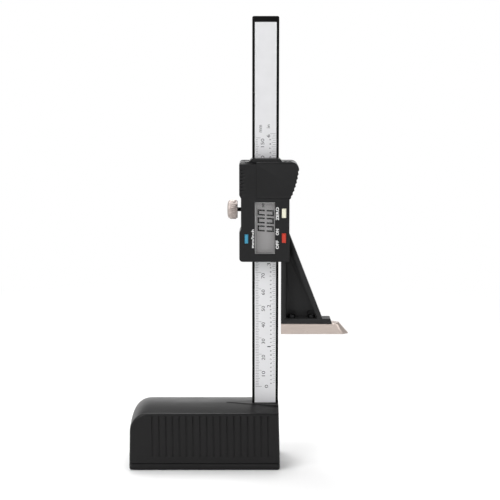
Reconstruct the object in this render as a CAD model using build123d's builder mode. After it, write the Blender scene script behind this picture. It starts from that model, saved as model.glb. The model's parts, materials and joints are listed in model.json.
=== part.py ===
from build123d import *
import os
from math import atan2, cos, degrees, radians, sin, tan

# Digital height gauge, in millimetres.
# +X right, +Y back, +Z up, origin under the middle of the base.

# How far a cut runs past the surface that it opens
overcut = 4.0

# Base
base_length = 90.0
base_width = 38.0
plate_thickness = 4.4
crown_height = 36.6
crown_radius = 90.0
end_radius = 11.0
draft_angle = 1.4
edge_radius = 1.6
housing_wall = 2.2
plate_edge = 1.5
parting_groove = 0.5

# Ribbed faces of the base
groove_pitch = 4.05
groove_width = 1.0
groove_depth = 0.6
groove_left_inset = 13.9
groove_right_inset = 7.1
groove_foot = 4.2
groove_head_gap = 3.2

# Column
column_inset = 8.8
beam_width = 15.6
beam_thickness = 4.0
beam_top = 267.3
beam_corner = 1.0
beam_edge = 0.3
label_width = 12.6
label_thickness = 0.25
label_top_border = 3.4
label_foot_gap = 0.2
strip_width = 12.2
strip_thickness = 0.5
label_recess = 0.05

# Column seat in the base
boss_rise = 0.3
boss_length = 31.4
boss_half_width = 8.0
boss_edge = 0.3
tenon_width = 12.0
tenon_foot = 8.0
rim_wall = 2.0
seat_clearance = 0.1
post_left = 8.5
post_boss_gap = 0.8
keeper_thickness = 2.0
keeper_left = 7.5
keeper_top = 26.0
keeper_neck = 2.4

# Slider outline, in column coordinates: x from the column's centre line, z above the slider's lower edge
jaw_height = 80.0
blade_height = 6.3
arm_drop = 38.5
slider_height = 59.0
body_left = -15.4
body_right = 14.0
waist_left = -14.4
waist_low = 17.4
waist_high = 39.8
waist_slope = 2.2
grip_foot = 37.8
grip_foot_x = 14.8
grip_bulge = (17.85, 46.1)
grip_head = (19.4, 54.4)
grip_head_radius = 4.4
grip_step = 0.8
scallop_count = 7
scallop_radius = 1.3
scallop_depth = 0.4
grip_margin = 1.0
slider_corner = 2.0
square_corner = 0.8

# Slider depths, measured along Y from the column's mid plane, towards the viewer negative
frame_back = 5.0
frame_front = -4.0
cover_face = -10.0
upper_face = -10.9
door_floor = -9.1
cover_wall = 1.5
outline_step = 0.2
side_clearance = 0.1
face_clearance = 0.15

# Slider details
top_chamfer = 1.3
cover_edge = 0.6
bridge_half_width = 8.2
bridge_rise = 1.7
ridge_count = 8
ridge_pitch = 2.0
ridge_length = 3.4
ridge_width = 0.6
ridge_depth = 0.35
ledge_height = 1.7
back_edge = 0.6
back_recess = 0.3
back_recess_side = 4.0
back_recess_end = 10.0

# Circuit board, display and window
board_thickness = 1.0
board_gap = 0.4
board_left = -13.0
board_right = 12.4
board_low = 2.2
board_high = 37.0
board_ledge = 1.0
notch_size = 6.2
notch_shift = 1.0
window_width = 12.3
window_height = 30.5
window_x = -0.15
window_middle = 20.15
window_sink = 0.3
window_flange = 0.9
window_flange_depth = 0.5
fit_gap = 0.1
lcd_thickness = 1.6
lcd_margin = 1.6
connector_width = 1.5
connector_length = 29.0

# Battery
cell_radius = 5.8
cell_height = 5.4
cell_x = 4.6
cell_middle = 47.8
cell_clearance = 0.2
contact_thickness = 0.2
contact_width = 4.0
contact_reach = 3.6
cell_cap_step = 0.6
door_left = -5.5
door_gap = 0.1
door_lip = 0.8
door_lip_depth = 0.7
door_rail_x = 12.7
door_rail_width = 1.4
door_rail_depth = 1.2

# Buttons: name, x, z, width, height
buttons = {
    "button_mode": (-11.2, 13.8, 2.0, 5.3),
    "button_zero": (10.8, 29.0, 2.5, 5.5),
    "button_power": (10.8, 14.3, 2.4, 5.6),
}
button_stand = 0.5
button_travel = 0.5
button_flange = 0.4
button_flange_depth = 0.6
button_clearance = 0.1
button_edge = 0.3
dome_radius = 1.6
dome_height = 0.7
dome_angle = 30

# Lock screw, brass insert and shoe
lock_height = 29.9
stud_radius = 1.25
thread_clearance = 0.05
knob_radius = 5.75
knob_lip_radius = 5.2
knob_length = 6.1
knob_dome = 1.9
knob_dome_middle = (0.28, 0.55)
knob_lip = 0.7
knob_gap = 2.0
knurl_count = 30
knurl_size = 0.42
insert_radius = 2.2
insert_end_gap = 0.3
insert_fit = 0.02
shoe_thickness = 1.6
shoe_height = 26.0
shoe_rest_gap = 0.25
shoe_back_room = 0.6
shoe_dimple = 0.5

# Arm and blade
arm_half_width = 4.0
arm_left = 9.4
upright_width = 2.9
slope_start = 16.1
slope_run = 0.388
slope_width = 2.6
flange_height = 3.0
flange_right = 39.0
flange_slant = 1.1
web_thickness = 1.6
arch_half_width = 2.6
arch_height = 4.0
arch_corner = 2.0
arch_depth = 0.5
blade_right = 49.7
blade_slant = 5.6
blade_bevel = 2.2
blade_edge = 0.5
blade_screw_x = (15.9, 27.7)

# Screws: head radius, head height, shank radius
small_head = (1.9, 1.2, 1.0)
blade_head = (2.1, 1.8, 1.25)
plate_head = (2.6, 1.6, 1.3)
stop_head = (1.4, 0.8, 0.8)
screw_clearance = 0.1
screw_tip_gap = 1.0
cover_screw_points = ((-12.7, 4.4), (10.9, 4.4), (-12.0, 54.0), (15.2, 50.5))
cover_screw_length = 10.5
cover_hole_depth = 4.0
plate_screw_end_inset = 6.6
plate_screw_side_inset = 6.0
plate_screw_length = 12.0
boss_radius = 3.2
keeper_screw_length = 9.0
blade_screw_length = 5.5

# Weight and magnets in the base
weight_end_inset = 13.0
weight_column_gap = 10.2
weight_width = 24.0
weight_height = 14.0
weight_gap = 0.1
weight_edge = 1.0
rib_thickness = 2.0
rib_spacing = 26.0
magnet_radius = 7.5
magnet_height = 3.2
magnet_end_inset = 13.0
magnet_column_gap = 16.2
magnet_sink = 0.1
magnet_edge = 0.3
lip_length = 60.0
lip_height = 2.0
lip_thickness = 1.2

# End stop on the back of the column's top
stop_width = 12.0
stop_height = 5.0
stop_thickness = 1.2
stop_below_top = 4.6
stop_screw_spacing = 7.0
stop_screw_length = 1.8

# Places that follow from the sizes above
column_x = base_length / 2 - column_inset
boss_top = crown_height + boss_rise
groove_span = base_length - groove_left_inset - groove_right_inset
groove_count = int(groove_span / groove_pitch) + 1
groove_middle_x = base_length / 2 - groove_right_inset - (groove_count - 1) * groove_pitch / 2
plate_screw_x = base_length / 2 - plate_screw_end_inset
plate_screw_y = base_width / 2 - plate_screw_side_inset
weight_left = weight_end_inset - base_length / 2
weight_right = column_x - tenon_width / 2 - rim_wall - weight_column_gap
weight_x = (weight_left + weight_right) / 2
magnet_places = (magnet_end_inset - base_length / 2, column_x - magnet_column_gap)
half_beam = beam_thickness / 2
post_half_width = plate_screw_y - boss_radius - post_boss_gap
keeper_screw_y = (half_beam + post_half_width) / 2 + seat_clearance
slider_bottom = jaw_height + blade_height + arm_drop
slider_top = slider_bottom + slider_height
flange_underside = jaw_height + blade_height
label_foot = boss_top + label_foot_gap
label_head = beam_top - label_top_border
pocket_depth = label_recess + label_thickness + strip_thickness
board_back = -half_beam - board_gap
board_front = board_back - board_thickness
cover_inside = cover_face + cover_wall
lcd_front = cover_inside + window_flange_depth + fit_gap
lcd_back = lcd_front + lcd_thickness
lock_z = slider_bottom + lock_height
shoe_right = -beam_width / 2 - shoe_rest_gap
shoe_left = shoe_right - shoe_thickness
channel_left = shoe_left - shoe_back_room
channel_right = beam_width / 2 + side_clearance
cell_back = door_floor + cell_clearance + cell_height
cell_z = slider_bottom + cell_middle
window_z = slider_bottom + window_middle
bridge_back = -half_beam - face_clearance
ledge_foot = slider_bottom + waist_high - waist_slope


def lean(height):
    """How far a drafted side of the base stands in at a height."""
    return (height - plate_thickness) * tan(radians(draft_angle))


def facing(depth):
    """Plane parallel to the scale, x from the column's centre line, normal towards the viewer."""
    return Plane(origin=(column_x, depth, 0), x_dir=(1, 0, 0), z_dir=(0, -1, 0))


def level(height):
    """Level plane at a height, x from the column's centre line."""
    return Plane(origin=(column_x, 0, height), x_dir=(1, 0, 0), z_dir=(0, 0, 1))


def across(x):
    """Plane across the column's X direction, its local x along +Y and its local y along +Z."""
    return Plane(origin=(column_x + x, 0, 0), x_dir=(0, 1, 0), z_dir=(1, 0, 0))


def domed_block(inset):
    """Base form from the parting line up: its side profile turned about a level axis far below."""
    half_length = base_length / 2 - inset
    half_width = base_width / 2 - inset
    top = crown_height - inset
    with BuildPart() as block:
        with BuildSketch(Plane.XZ) as profile:
            with BuildLine():
                Polyline(
                    (lean(0) - half_length, 0),
                    (lean(top) - half_length, top),
                    (half_length - lean(top), top),
                    (half_length - lean(0), 0),
                    close=True,
                )
            make_face()
            fillet(profile.vertices().group_by(Axis.Y)[-1].sort_by(Axis.X)[0], end_radius - inset)
        revolve(axis=Axis((0, 0, crown_height - crown_radius), (1, 0, 0)))
        with BuildSketch(Plane.YZ.offset(-base_length)):
            with BuildLine():
                Polyline(
                    (-half_width, plate_thickness),
                    (lean(crown_height) - half_width, crown_height),
                    (half_width - lean(crown_height), crown_height),
                    (half_width, plate_thickness),
                    close=True,
                )
            make_face()
        extrude(amount=2 * base_length, mode=Mode.INTERSECT)
    return block.part


def slider_outline(plane, inset=0.0):
    """Front outline of the slider with its waist at the left and its scalloped grip at the right."""
    foot = slider_bottom
    with BuildSketch(plane) as face:
        with BuildLine():
            grip = ThreePointArc(
                (grip_foot_x, foot + grip_foot),
                (grip_bulge[0], foot + grip_bulge[1]),
                (grip_head[0], foot + grip_head[1]),
            )
            Polyline(
                grip @ 1,
                (grip_head[0], slider_top),
                (body_left, slider_top),
                (body_left, foot + waist_high),
                (waist_left, foot + waist_high - waist_slope),
                (waist_left, foot + waist_low + waist_slope),
                (body_left, foot + waist_low),
                (body_left, foot),
                (body_right, foot),
                (body_right, foot + grip_foot - grip_step),
                grip @ 0,
            )
        make_face()
        fillet(face.vertices().group_by(Axis.Y)[-1].sort_by(Axis.X)[0], slider_corner)
        fillet(face.vertices().group_by(Axis.Y)[-1].sort_by(Axis.X)[-1], grip_head_radius)
        fillet(face.vertices().group_by(Axis.Y)[0].sort_by(Axis.X)[0], slider_corner)
        fillet(face.vertices().group_by(Axis.Y)[0].sort_by(Axis.X)[-1], square_corner)
        centre = grip.arc_center
        foot_angle, head_angle = (
            degrees(atan2((grip @ end).Y - centre.Y, (grip @ end).X - centre.X)) for end in (0, 1)
        )
        step = (head_angle - foot_angle) / scallop_count
        with Locations(centre):
            with PolarLocations(
                grip.radius + scallop_radius - scallop_depth,
                scallop_count,
                foot_angle + step / 2,
                step * (scallop_count - 1),
                endpoint=True,
            ):
                Circle(scallop_radius, mode=Mode.SUBTRACT)
        if inset:
            offset(amount=-inset)
    return face.sketch


def left_of_grip(edge):
    """Rim edges that keep clear of the scalloped grip."""
    return edge.center().X < column_x + body_right - grip_margin


def band(plane, left, right, low, high):
    """Rectangle between two x values and two heights, on a plane that faces the viewer."""
    with BuildSketch(plane) as area:
        with Locations(((left + right) / 2, (low + high) / 2)):
            Rectangle(right - left, high - low)
    return area.sketch


housing_form = domed_block(0)
housing_cavity = domed_block(housing_wall)
interior_limit = domed_block(housing_wall / 2)

# Posts, ribs and the column's socket under the dome, trimmed to end inside the shell's thickness
with BuildPart() as housing_posts:
    with BuildSketch(Plane.XY.offset(plate_thickness)):
        with GridLocations(2 * plate_screw_x, 2 * plate_screw_y, 2, 2):
            Circle(boss_radius)
    extrude(amount=crown_height)
    with BuildSketch(Plane.XY.offset(plate_thickness + weight_height + weight_gap)):
        with Locations((weight_x, 0)):
            with GridLocations(rib_spacing, 0, 2, 1):
                Rectangle(rib_thickness, base_width)
    extrude(amount=crown_height)
    with BuildSketch(level(keeper_top)):
        with Locations(((base_length - column_x - post_left) / 2, 0)):
            Rectangle(base_length - column_x + post_left, 2 * post_half_width)
    extrude(amount=crown_height)
    add(interior_limit, mode=Mode.INTERSECT)

# Base housing
with BuildPart() as base_housing:
    add(housing_form)
    for face in (base_housing.faces().sort_by(Axis.Y)[0], base_housing.faces().sort_by(Axis.Y)[-1]):
        fillet(face.edges().sort_by(Axis.Z)[1:], edge_radius)
    add(housing_cavity, mode=Mode.SUBTRACT)
    add(housing_posts.part)
    with BuildSketch(level(crown_height - housing_wall)):
        with BuildLine():
            right_end = base_length / 2 - lean(boss_top) - column_x
            Polyline(
                (right_end - boss_length, 0),
                (right_end, -boss_half_width),
                (right_end, boss_half_width),
                close=True,
            )
        make_face()
    extrude(amount=boss_rise + housing_wall)
    boss_rim = base_housing.faces().filter_by(Axis.Z).filter_by(lambda face: face.center().Z > crown_height)
    chamfer(boss_rim.edges(), boss_edge / 2)
    for side in (-1, 1):
        ribbed = Plane(
            origin=(0, side * base_width / 2, plate_thickness),
            x_dir=(-side, 0, 0),
            z_dir=(0, side * cos(radians(draft_angle)), sin(radians(draft_angle))),
        )
        groove_height = crown_height - groove_head_gap - plate_thickness - groove_foot
        with BuildSketch(ribbed):
            with Locations((-side * groove_middle_x, groove_foot + groove_height / 2)):
                with GridLocations(groove_pitch, 0, groove_count, 1):
                    Rectangle(groove_width, groove_height)
        extrude(amount=-groove_depth, mode=Mode.SUBTRACT)
    with BuildSketch(level(keeper_top)):
        Rectangle(tenon_width + 2 * seat_clearance, beam_thickness + 2 * seat_clearance)
    extrude(amount=boss_top, mode=Mode.SUBTRACT)
    with Locations(level(keeper_top)):
        with GridLocations(0, 2 * keeper_screw_y, 1, 2):
            Hole(small_head[2] + screw_clearance, keeper_screw_length)
    with Locations(Plane.XY.offset(plate_thickness)):
        with GridLocations(2 * plate_screw_x, 2 * plate_screw_y, 2, 2):
            Hole(plate_head[2] + screw_clearance, plate_screw_length)

# Base plate with magnet pockets, screw holes and a socket for the column's foot
with BuildPart() as base_plate:
    with BuildSketch():
        RectangleRounded(base_length, base_width, edge_radius)
    extrude(amount=plate_thickness - parting_groove)
    fillet(base_plate.edges().group_by(Axis.Z)[0], plate_edge)
    with BuildSketch(Plane.XY.offset(plate_thickness - parting_groove)):
        RectangleRounded(base_length - 2 * parting_groove, base_width - 2 * parting_groove, edge_radius)
    extrude(amount=parting_groove)
    with BuildSketch(Plane.XY.offset(plate_thickness)):
        with Locations((column_x - rim_wall / 2, 0)):
            Rectangle(tenon_width + rim_wall, beam_thickness + 2 * rim_wall)
        lip_y = base_width / 2 - housing_wall - seat_clearance - lip_thickness / 2
        with GridLocations(0, 2 * lip_y, 1, 2):
            Rectangle(lip_length, lip_thickness)
    extrude(amount=lip_height)
    with BuildSketch(level(plate_thickness + lip_height)):
        with Locations((-rim_wall / 2, 0)):
            Rectangle(tenon_width + rim_wall, beam_thickness + 2 * rim_wall)
    extrude(amount=tenon_foot - plate_thickness)
    with BuildSketch(level(tenon_foot)):
        Rectangle(tenon_width + 2 * seat_clearance, beam_thickness + 2 * seat_clearance)
    extrude(amount=tenon_foot, mode=Mode.SUBTRACT)
    with BuildSketch():
        with Locations(*((x, 0) for x in magnet_places)):
            Circle(magnet_radius + seat_clearance)
    extrude(amount=magnet_height + magnet_sink, mode=Mode.SUBTRACT)
    with Locations(Plane(origin=(0, 0, 0), x_dir=(1, 0, 0), z_dir=(0, 0, -1))):
        with GridLocations(2 * plate_screw_x, 2 * plate_screw_y, 2, 2):
            CounterSinkHole(plate_head[2] + screw_clearance, plate_head[0] + screw_clearance, plate_thickness)

# Countersunk screws that close the base from below
with BuildPart() as base_plate_screws:
    with BuildSketch(Plane.XY.offset(seat_clearance)):
        with GridLocations(2 * plate_screw_x, 2 * plate_screw_y, 2, 2):
            Circle(plate_head[0])
    extrude(amount=plate_head[0] - plate_head[2], taper=45)
    with BuildSketch(Plane.XY.offset(seat_clearance)):
        with GridLocations(2 * plate_screw_x, 2 * plate_screw_y, 2, 2):
            Circle(plate_head[2])
    extrude(amount=plate_thickness + plate_screw_length - screw_tip_gap)

# Cast weight that keeps the base down under the overhanging arm
with BuildPart() as ballast_weight:
    with BuildSketch(Plane.XY.offset(plate_thickness)):
        with Locations((weight_x, 0)):
            RectangleRounded(weight_right - weight_left, weight_width, 2 * weight_edge)
    extrude(amount=weight_height)
    chamfer(ballast_weight.edges().group_by(Axis.Z)[-1], weight_edge)


def magnet(x):
    """Disc magnet in its pocket under the base."""
    with BuildPart() as disc:
        with BuildSketch(Plane.XY.offset(magnet_sink)):
            with Locations((x, 0)):
                Circle(magnet_radius)
        extrude(amount=magnet_height)
        chamfer(disc.edges().group_by(Axis.Z)[0], magnet_edge)
    return disc


base_magnet_left, base_magnet_right = (magnet(x) for x in magnet_places)

# Steel fork that grips the notched tenon under the housing's socket
with BuildPart() as column_keeper:
    with BuildSketch(level(keeper_top)):
        keeper_right = tenon_width / 2 - 2 * seat_clearance
        with Locations(((keeper_right - keeper_left) / 2, 0)):
            Rectangle(keeper_right + keeper_left, 2 * post_half_width)
        with Locations((tenon_width / 2, 0)):
            slot_height = keeper_neck + 2 * seat_clearance
            Rectangle(2 * (tenon_width + seat_clearance), slot_height, mode=Mode.SUBTRACT)
    extrude(amount=-keeper_thickness)
    with Locations(level(keeper_top)):
        with GridLocations(0, 2 * keeper_screw_y, 1, 2):
            Hole(small_head[2] + screw_clearance)

# Screws that draw the fork up against the socket
with BuildPart() as keeper_screws:
    with BuildSketch(level(keeper_top - keeper_thickness)):
        with GridLocations(0, 2 * keeper_screw_y, 1, 2):
            Circle(small_head[0])
    extrude(amount=-small_head[1])
    with BuildSketch(level(keeper_top - keeper_thickness)):
        with GridLocations(0, 2 * keeper_screw_y, 1, 2):
            Circle(small_head[2])
    extrude(amount=keeper_screw_length)

# Column beam: shouldered tenon, label pocket in front, end stop holes behind
with BuildPart() as column_beam:
    upright = band(facing(half_beam), -beam_width / 2, beam_width / 2, boss_top, beam_top)
    extrude(upright, amount=beam_thickness)
    fillet(column_beam.edges().filter_by(Axis.Y).group_by(Axis.Z)[-1], beam_corner)
    chamfer(column_beam.edges().filter_by(Axis.Z), beam_edge)
    tenon = band(facing(half_beam), -tenon_width / 2, tenon_width / 2, tenon_foot, boss_top)
    extrude(tenon, amount=beam_thickness)
    notch_low = keeper_top - keeper_thickness - seat_clearance
    for notch_face, direction in ((half_beam, 1), (-half_beam, -1)):
        extrude(
            band(facing(notch_face), -tenon_width / 2, tenon_width / 2, notch_low,
                 keeper_top + seat_clearance),
            amount=direction * (beam_thickness - keeper_neck) / 2,
            mode=Mode.SUBTRACT,
        )
    extrude(
        band(facing(-half_beam), -label_width / 2 - label_recess, label_width / 2 + label_recess,
             label_foot - label_recess, label_head + label_recess),
        amount=-pocket_depth,
        mode=Mode.SUBTRACT,
    )
    with BuildSketch(facing(half_beam)):
        with Locations((0, beam_top - stop_below_top - stop_height / 2)):
            with GridLocations(stop_screw_spacing, 0, 2, 1):
                Circle(stop_head[2] + seat_clearance / 2)
    extrude(amount=stop_screw_length + seat_clearance, mode=Mode.SUBTRACT)

# Patterned circuit strip in the column's pocket
with BuildPart() as grid_strip:
    extrude(
        band(facing(-half_beam + pocket_depth), -strip_width / 2, strip_width / 2, label_foot, label_head),
        amount=strip_thickness,
    )

# Printed scale label over the strip
with BuildPart() as scale_label:
    extrude(
        band(facing(-half_beam + label_recess + label_thickness), -label_width / 2, label_width / 2,
             label_foot, label_head),
        amount=label_thickness,
    )

# End stop and its screws, behind the column's top
with BuildPart() as beam_end_stop:
    with BuildSketch(facing(half_beam)):
        with Locations((0, beam_top - stop_below_top - stop_height / 2)):
            RectangleRounded(stop_width, stop_height, beam_corner)
            with GridLocations(stop_screw_spacing, 0, 2, 1):
                Circle(stop_head[2] + screw_clearance, mode=Mode.SUBTRACT)
    extrude(amount=-stop_thickness)

with BuildPart() as end_stop_screws:
    stop_seat = facing(half_beam + stop_thickness)
    for radius, amount in ((stop_head[0], -stop_head[1]), (stop_head[2], stop_thickness + stop_screw_length)):
        with BuildSketch(stop_seat):
            with Locations((0, beam_top - stop_below_top - stop_height / 2)):
                with GridLocations(stop_screw_spacing, 0, 2, 1):
                    Circle(radius)
        extrude(amount=amount)

# Slider frame with the triangular arm moulded on
with BuildPart() as slider_frame:
    slope_foot = flange_underside + flange_height
    slope_head_z = slider_bottom + slope_start
    slope_foot_x = body_right + (slope_head_z - slope_foot) * slope_run
    with BuildSketch(facing(arm_half_width)):
        with BuildLine():
            Polyline(
                (arm_left, flange_underside),
                (flange_right, flange_underside),
                (flange_right - flange_slant, slope_foot),
                (slope_foot_x, slope_foot),
                (body_right, slope_head_z),
                (arm_left, slope_head_z),
                close=True,
            )
        make_face()
    extrude(amount=2 * arm_half_width)
    recess_left = arm_left + upright_width
    recess_right = slope_foot_x - slope_width * (1 + slope_run ** 2) ** 0.5
    web_front = arm_half_width - web_thickness
    with BuildSketch(facing(web_front)):
        with BuildLine():
            Polyline(
                (recess_left, slope_foot),
                (recess_right, slope_foot),
                (recess_left, slope_foot + (recess_right - recess_left) / slope_run),
                close=True,
            )
        make_face()
    extrude(amount=web_front + arm_half_width, mode=Mode.SUBTRACT)
    with BuildSketch(facing(web_front + arch_depth)) as arches:
        with Locations(*((x, slope_foot + arch_height / 2) for x in blade_screw_x)):
            Rectangle(2 * arch_half_width, arch_height)
        fillet(arches.vertices().group_by(Axis.Y)[-1], arch_corner)
    extrude(amount=2 * arch_depth, mode=Mode.SUBTRACT)
    with Locations(level(slope_foot)):
        with Locations(*((x, 0) for x in blade_screw_x)):
            Hole(blade_head[2] + screw_clearance, flange_height)
    extrude(slider_outline(facing(frame_back), outline_step), amount=frame_back - frame_front)
    back_rim = slider_frame.faces().filter_by(Axis.Y).sort_by(Axis.Y)[-1].edges()
    chamfer(back_rim.filter_by(left_of_grip), back_edge)
    extrude(
        band(facing(half_beam + face_clearance), channel_left, channel_right, slider_bottom, slider_top),
        amount=beam_thickness + 2 * face_clearance,
        mode=Mode.SUBTRACT,
    )
    extrude(
        band(facing(board_back), board_left - fit_gap, board_right + fit_gap,
             slider_bottom + board_low - fit_gap, slider_bottom + board_high + fit_gap),
        amount=overcut,
        mode=Mode.SUBTRACT,
    )
    with BuildSketch(facing(cell_back + contact_thickness)):
        with Locations((cell_x, cell_z)):
            Circle(cell_radius + cell_clearance)
    extrude(amount=overcut, mode=Mode.SUBTRACT)
    extrude(
        band(facing(board_back), channel_left, channel_right, slider_bottom + board_low + board_ledge,
             slider_bottom + board_high - board_ledge),
        amount=board_back - bridge_back,
        mode=Mode.SUBTRACT,
    )
    extrude(
        band(facing(cell_back + contact_thickness), cell_x - contact_width / 2 - fit_gap,
             cell_x + contact_width / 2 + fit_gap, slider_bottom + board_high, cell_z),
        amount=overcut,
        mode=Mode.SUBTRACT,
    )
    with BuildSketch(across(body_left)):
        with Locations((0, lock_z)):
            Circle(insert_radius)
    extrude(amount=channel_left - body_left, mode=Mode.SUBTRACT)
    extrude(
        band(facing(frame_back - back_recess), waist_left + back_recess_side, body_right - back_recess_side,
             slider_bottom + back_recess_end, slider_top - back_recess_end),
        amount=-overcut,
        mode=Mode.SUBTRACT,
    )
    with Locations(Plane(origin=(column_x, frame_back, 0), x_dir=(-1, 0, 0), z_dir=(0, 1, 0))):
        with Locations(*((-x, slider_bottom + z) for x, z in cover_screw_points)):
            CounterBoreHole(small_head[2] + screw_clearance, small_head[0] + screw_clearance, small_head[1])

# Wedges that slope the upper face down to the display's face and off the slider's top edge
with BuildPart() as upper_slopes:
    with BuildSketch(across(2 * body_left)):
        with BuildLine():
            Polyline(
                (cover_face, ledge_foot),
                (upper_face, ledge_foot + ledge_height),
                (upper_face, ledge_foot),
                close=True,
            )
        make_face()
        with BuildLine():
            Polyline(
                (upper_face, slider_top),
                (upper_face + top_chamfer, slider_top),
                (upper_face, slider_top - top_chamfer),
                close=True,
            )
        make_face()
    extrude(amount=-4 * body_left)

# Front cover: board cavity, window, key holes, battery pocket and the bridge over the column
with BuildPart() as front_cover:
    extrude(slider_outline(facing(frame_front)), amount=frame_front - upper_face)
    extrude(
        band(facing(cover_face), 2 * body_left, 2 * body_right, slider_bottom - overcut, ledge_foot),
        amount=overcut,
        mode=Mode.SUBTRACT,
    )
    add(upper_slopes.part, mode=Mode.SUBTRACT)
    display_rim = front_cover.faces().filter_by(Axis.Y).group_by(Axis.Y)[1].sort_by(Axis.Z)[0].edges()
    fillet(display_rim.sort_by(Axis.Z)[:-1].filter_by(left_of_grip), cover_edge)
    extrude(
        band(facing(door_floor), door_left, 2 * body_right, ledge_foot, slider_top + overcut),
        amount=overcut,
        mode=Mode.SUBTRACT,
    )
    extrude(
        band(facing(door_floor), door_left - door_lip - door_gap, door_left, ledge_foot + ledge_height,
             slider_top + overcut),
        amount=door_lip_depth + 2 * door_gap,
        mode=Mode.SUBTRACT,
    )
    extrude(
        band(facing(door_floor), door_rail_x - door_rail_width / 2 - door_gap,
             door_rail_x + door_rail_width / 2 + door_gap, ledge_foot + ledge_height, slider_top + overcut),
        amount=-door_rail_depth - door_gap,
        mode=Mode.SUBTRACT,
    )
    with BuildSketch(facing(bridge_back)):
        with BuildLine():
            Polyline(
                (-bridge_half_width - bridge_rise, slider_top),
                (-bridge_half_width, slider_top + bridge_rise),
                (bridge_half_width, slider_top + bridge_rise),
                (bridge_half_width + bridge_rise, slider_top),
                close=True,
            )
        make_face()
    extrude(amount=bridge_back - door_floor)
    extrude(
        band(facing(frame_front), board_left - fit_gap, board_right + fit_gap,
             slider_bottom + board_low - fit_gap, slider_bottom + board_high + fit_gap),
        amount=frame_front - cover_inside,
        mode=Mode.SUBTRACT,
    )
    extrude(
        band(facing(cover_inside), window_x - window_width / 2, window_x + window_width / 2,
             window_z - window_height / 2, window_z + window_height / 2),
        amount=overcut,
        mode=Mode.SUBTRACT,
    )
    for x, z, width, height in buttons.values():
        with BuildSketch(facing(cover_inside)):
            with Locations((x, slider_bottom + z)):
                RectangleRounded(width + 2 * button_clearance, height + 2 * button_clearance, button_edge)
        extrude(amount=overcut, mode=Mode.SUBTRACT)
    with BuildSketch(facing(frame_front)):
        with Locations((cell_x, cell_z)):
            Circle(cell_radius + cell_clearance)
    extrude(amount=2 * overcut, mode=Mode.SUBTRACT)
    with BuildSketch(facing(upper_face)):
        ridge_middle = ledge_foot + ledge_height + ridge_count * ridge_pitch / 2
        with Locations((body_left + ridge_length / 2, ridge_middle)):
            with GridLocations(0, ridge_pitch, 1, ridge_count):
                Rectangle(ridge_length, ridge_width)
    extrude(amount=-ridge_depth, mode=Mode.SUBTRACT)
    with BuildSketch(facing(frame_front)):
        with Locations(*((x, slider_bottom + z) for x, z in cover_screw_points[:2])):
            Circle(small_head[0])
    extrude(amount=frame_front - cover_inside)
    with Locations(Plane(origin=(column_x, frame_front, 0), x_dir=(-1, 0, 0), z_dir=(0, 1, 0))):
        with Locations(*((-x, slider_bottom + z) for x, z in cover_screw_points)):
            Hole(small_head[2] + screw_clearance, cover_hole_depth)
    extrude(
        band(facing(frame_front), cell_x - contact_width / 2 - fit_gap, cell_x + contact_width / 2 + fit_gap,
             slider_bottom + board_high, cell_z - cell_radius + cell_clearance),
        amount=contact_reach,
        mode=Mode.SUBTRACT,
    )

# Clear pane with a flange behind the cover's wall
with BuildPart() as display_window:
    with BuildSketch(facing(cover_inside + window_flange_depth)):
        with Locations((window_x, window_z)):
            Rectangle(window_width + 2 * window_flange, window_height + 2 * window_flange)
    extrude(amount=window_flange_depth)
    with BuildSketch(facing(cover_inside)):
        with Locations((window_x, window_z)):
            Rectangle(window_width - 2 * fit_gap, window_height - 2 * fit_gap)
    extrude(amount=cover_wall - window_sink)

# Display glass
with BuildPart() as lcd_panel:
    with BuildSketch(facing(lcd_back)):
        with Locations((window_x, window_z)):
            Rectangle(window_width + 2 * lcd_margin, window_height + 2 * lcd_margin)
    extrude(amount=lcd_thickness)

# Conductive rubber strip between the display and the board
with BuildPart() as display_connector:
    with BuildSketch(facing(board_front)):
        with Locations((window_x + window_width / 2 + lcd_margin - connector_width / 2, window_z)):
            Rectangle(connector_width, connector_length)
    extrude(amount=board_front - lcd_back)

# Measuring board, notched round the cover's screw posts
with BuildPart() as circuit_board:
    with BuildSketch(facing(board_back)):
        with Locations(((board_left + board_right) / 2, slider_bottom + (board_low + board_high) / 2)):
            Rectangle(board_right - board_left, board_high - board_low)
        for side, (x, z) in zip((-1, 1), cover_screw_points):
            with Locations((x + side * notch_shift, slider_bottom + z - notch_shift)):
                Rectangle(notch_size, notch_size, mode=Mode.SUBTRACT)
    extrude(amount=board_thickness)

# Switch domes on the board, one under each key
with BuildPart() as key_domes:
    with BuildSketch(facing(board_front)):
        with Locations(*((x, slider_bottom + z) for x, z, width, height in buttons.values())):
            Circle(dome_radius)
    extrude(amount=dome_height, taper=dome_angle)

# Button cell: can and smaller negative cap behind
with BuildPart() as battery_cell:
    with BuildSketch(facing(cell_back)):
        with Locations((cell_x, cell_z)):
            Circle(cell_radius - cell_cap_step)
    extrude(amount=cell_cap_step)
    with BuildSketch(facing(cell_back - cell_cap_step)):
        with Locations((cell_x, cell_z)):
            Circle(cell_radius)
    extrude(amount=cell_height - cell_cap_step)
    chamfer(battery_cell.edges().sort_by(Axis.Y)[0], cell_clearance)

# Flat spring under the cell, down to the board's edge
with BuildPart() as battery_contact_negative:
    extrude(
        band(facing(cell_back + contact_thickness), cell_x - contact_width / 2, cell_x + contact_width / 2,
             slider_bottom + board_high + fit_gap, cell_z),
        amount=contact_thickness,
    )

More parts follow.
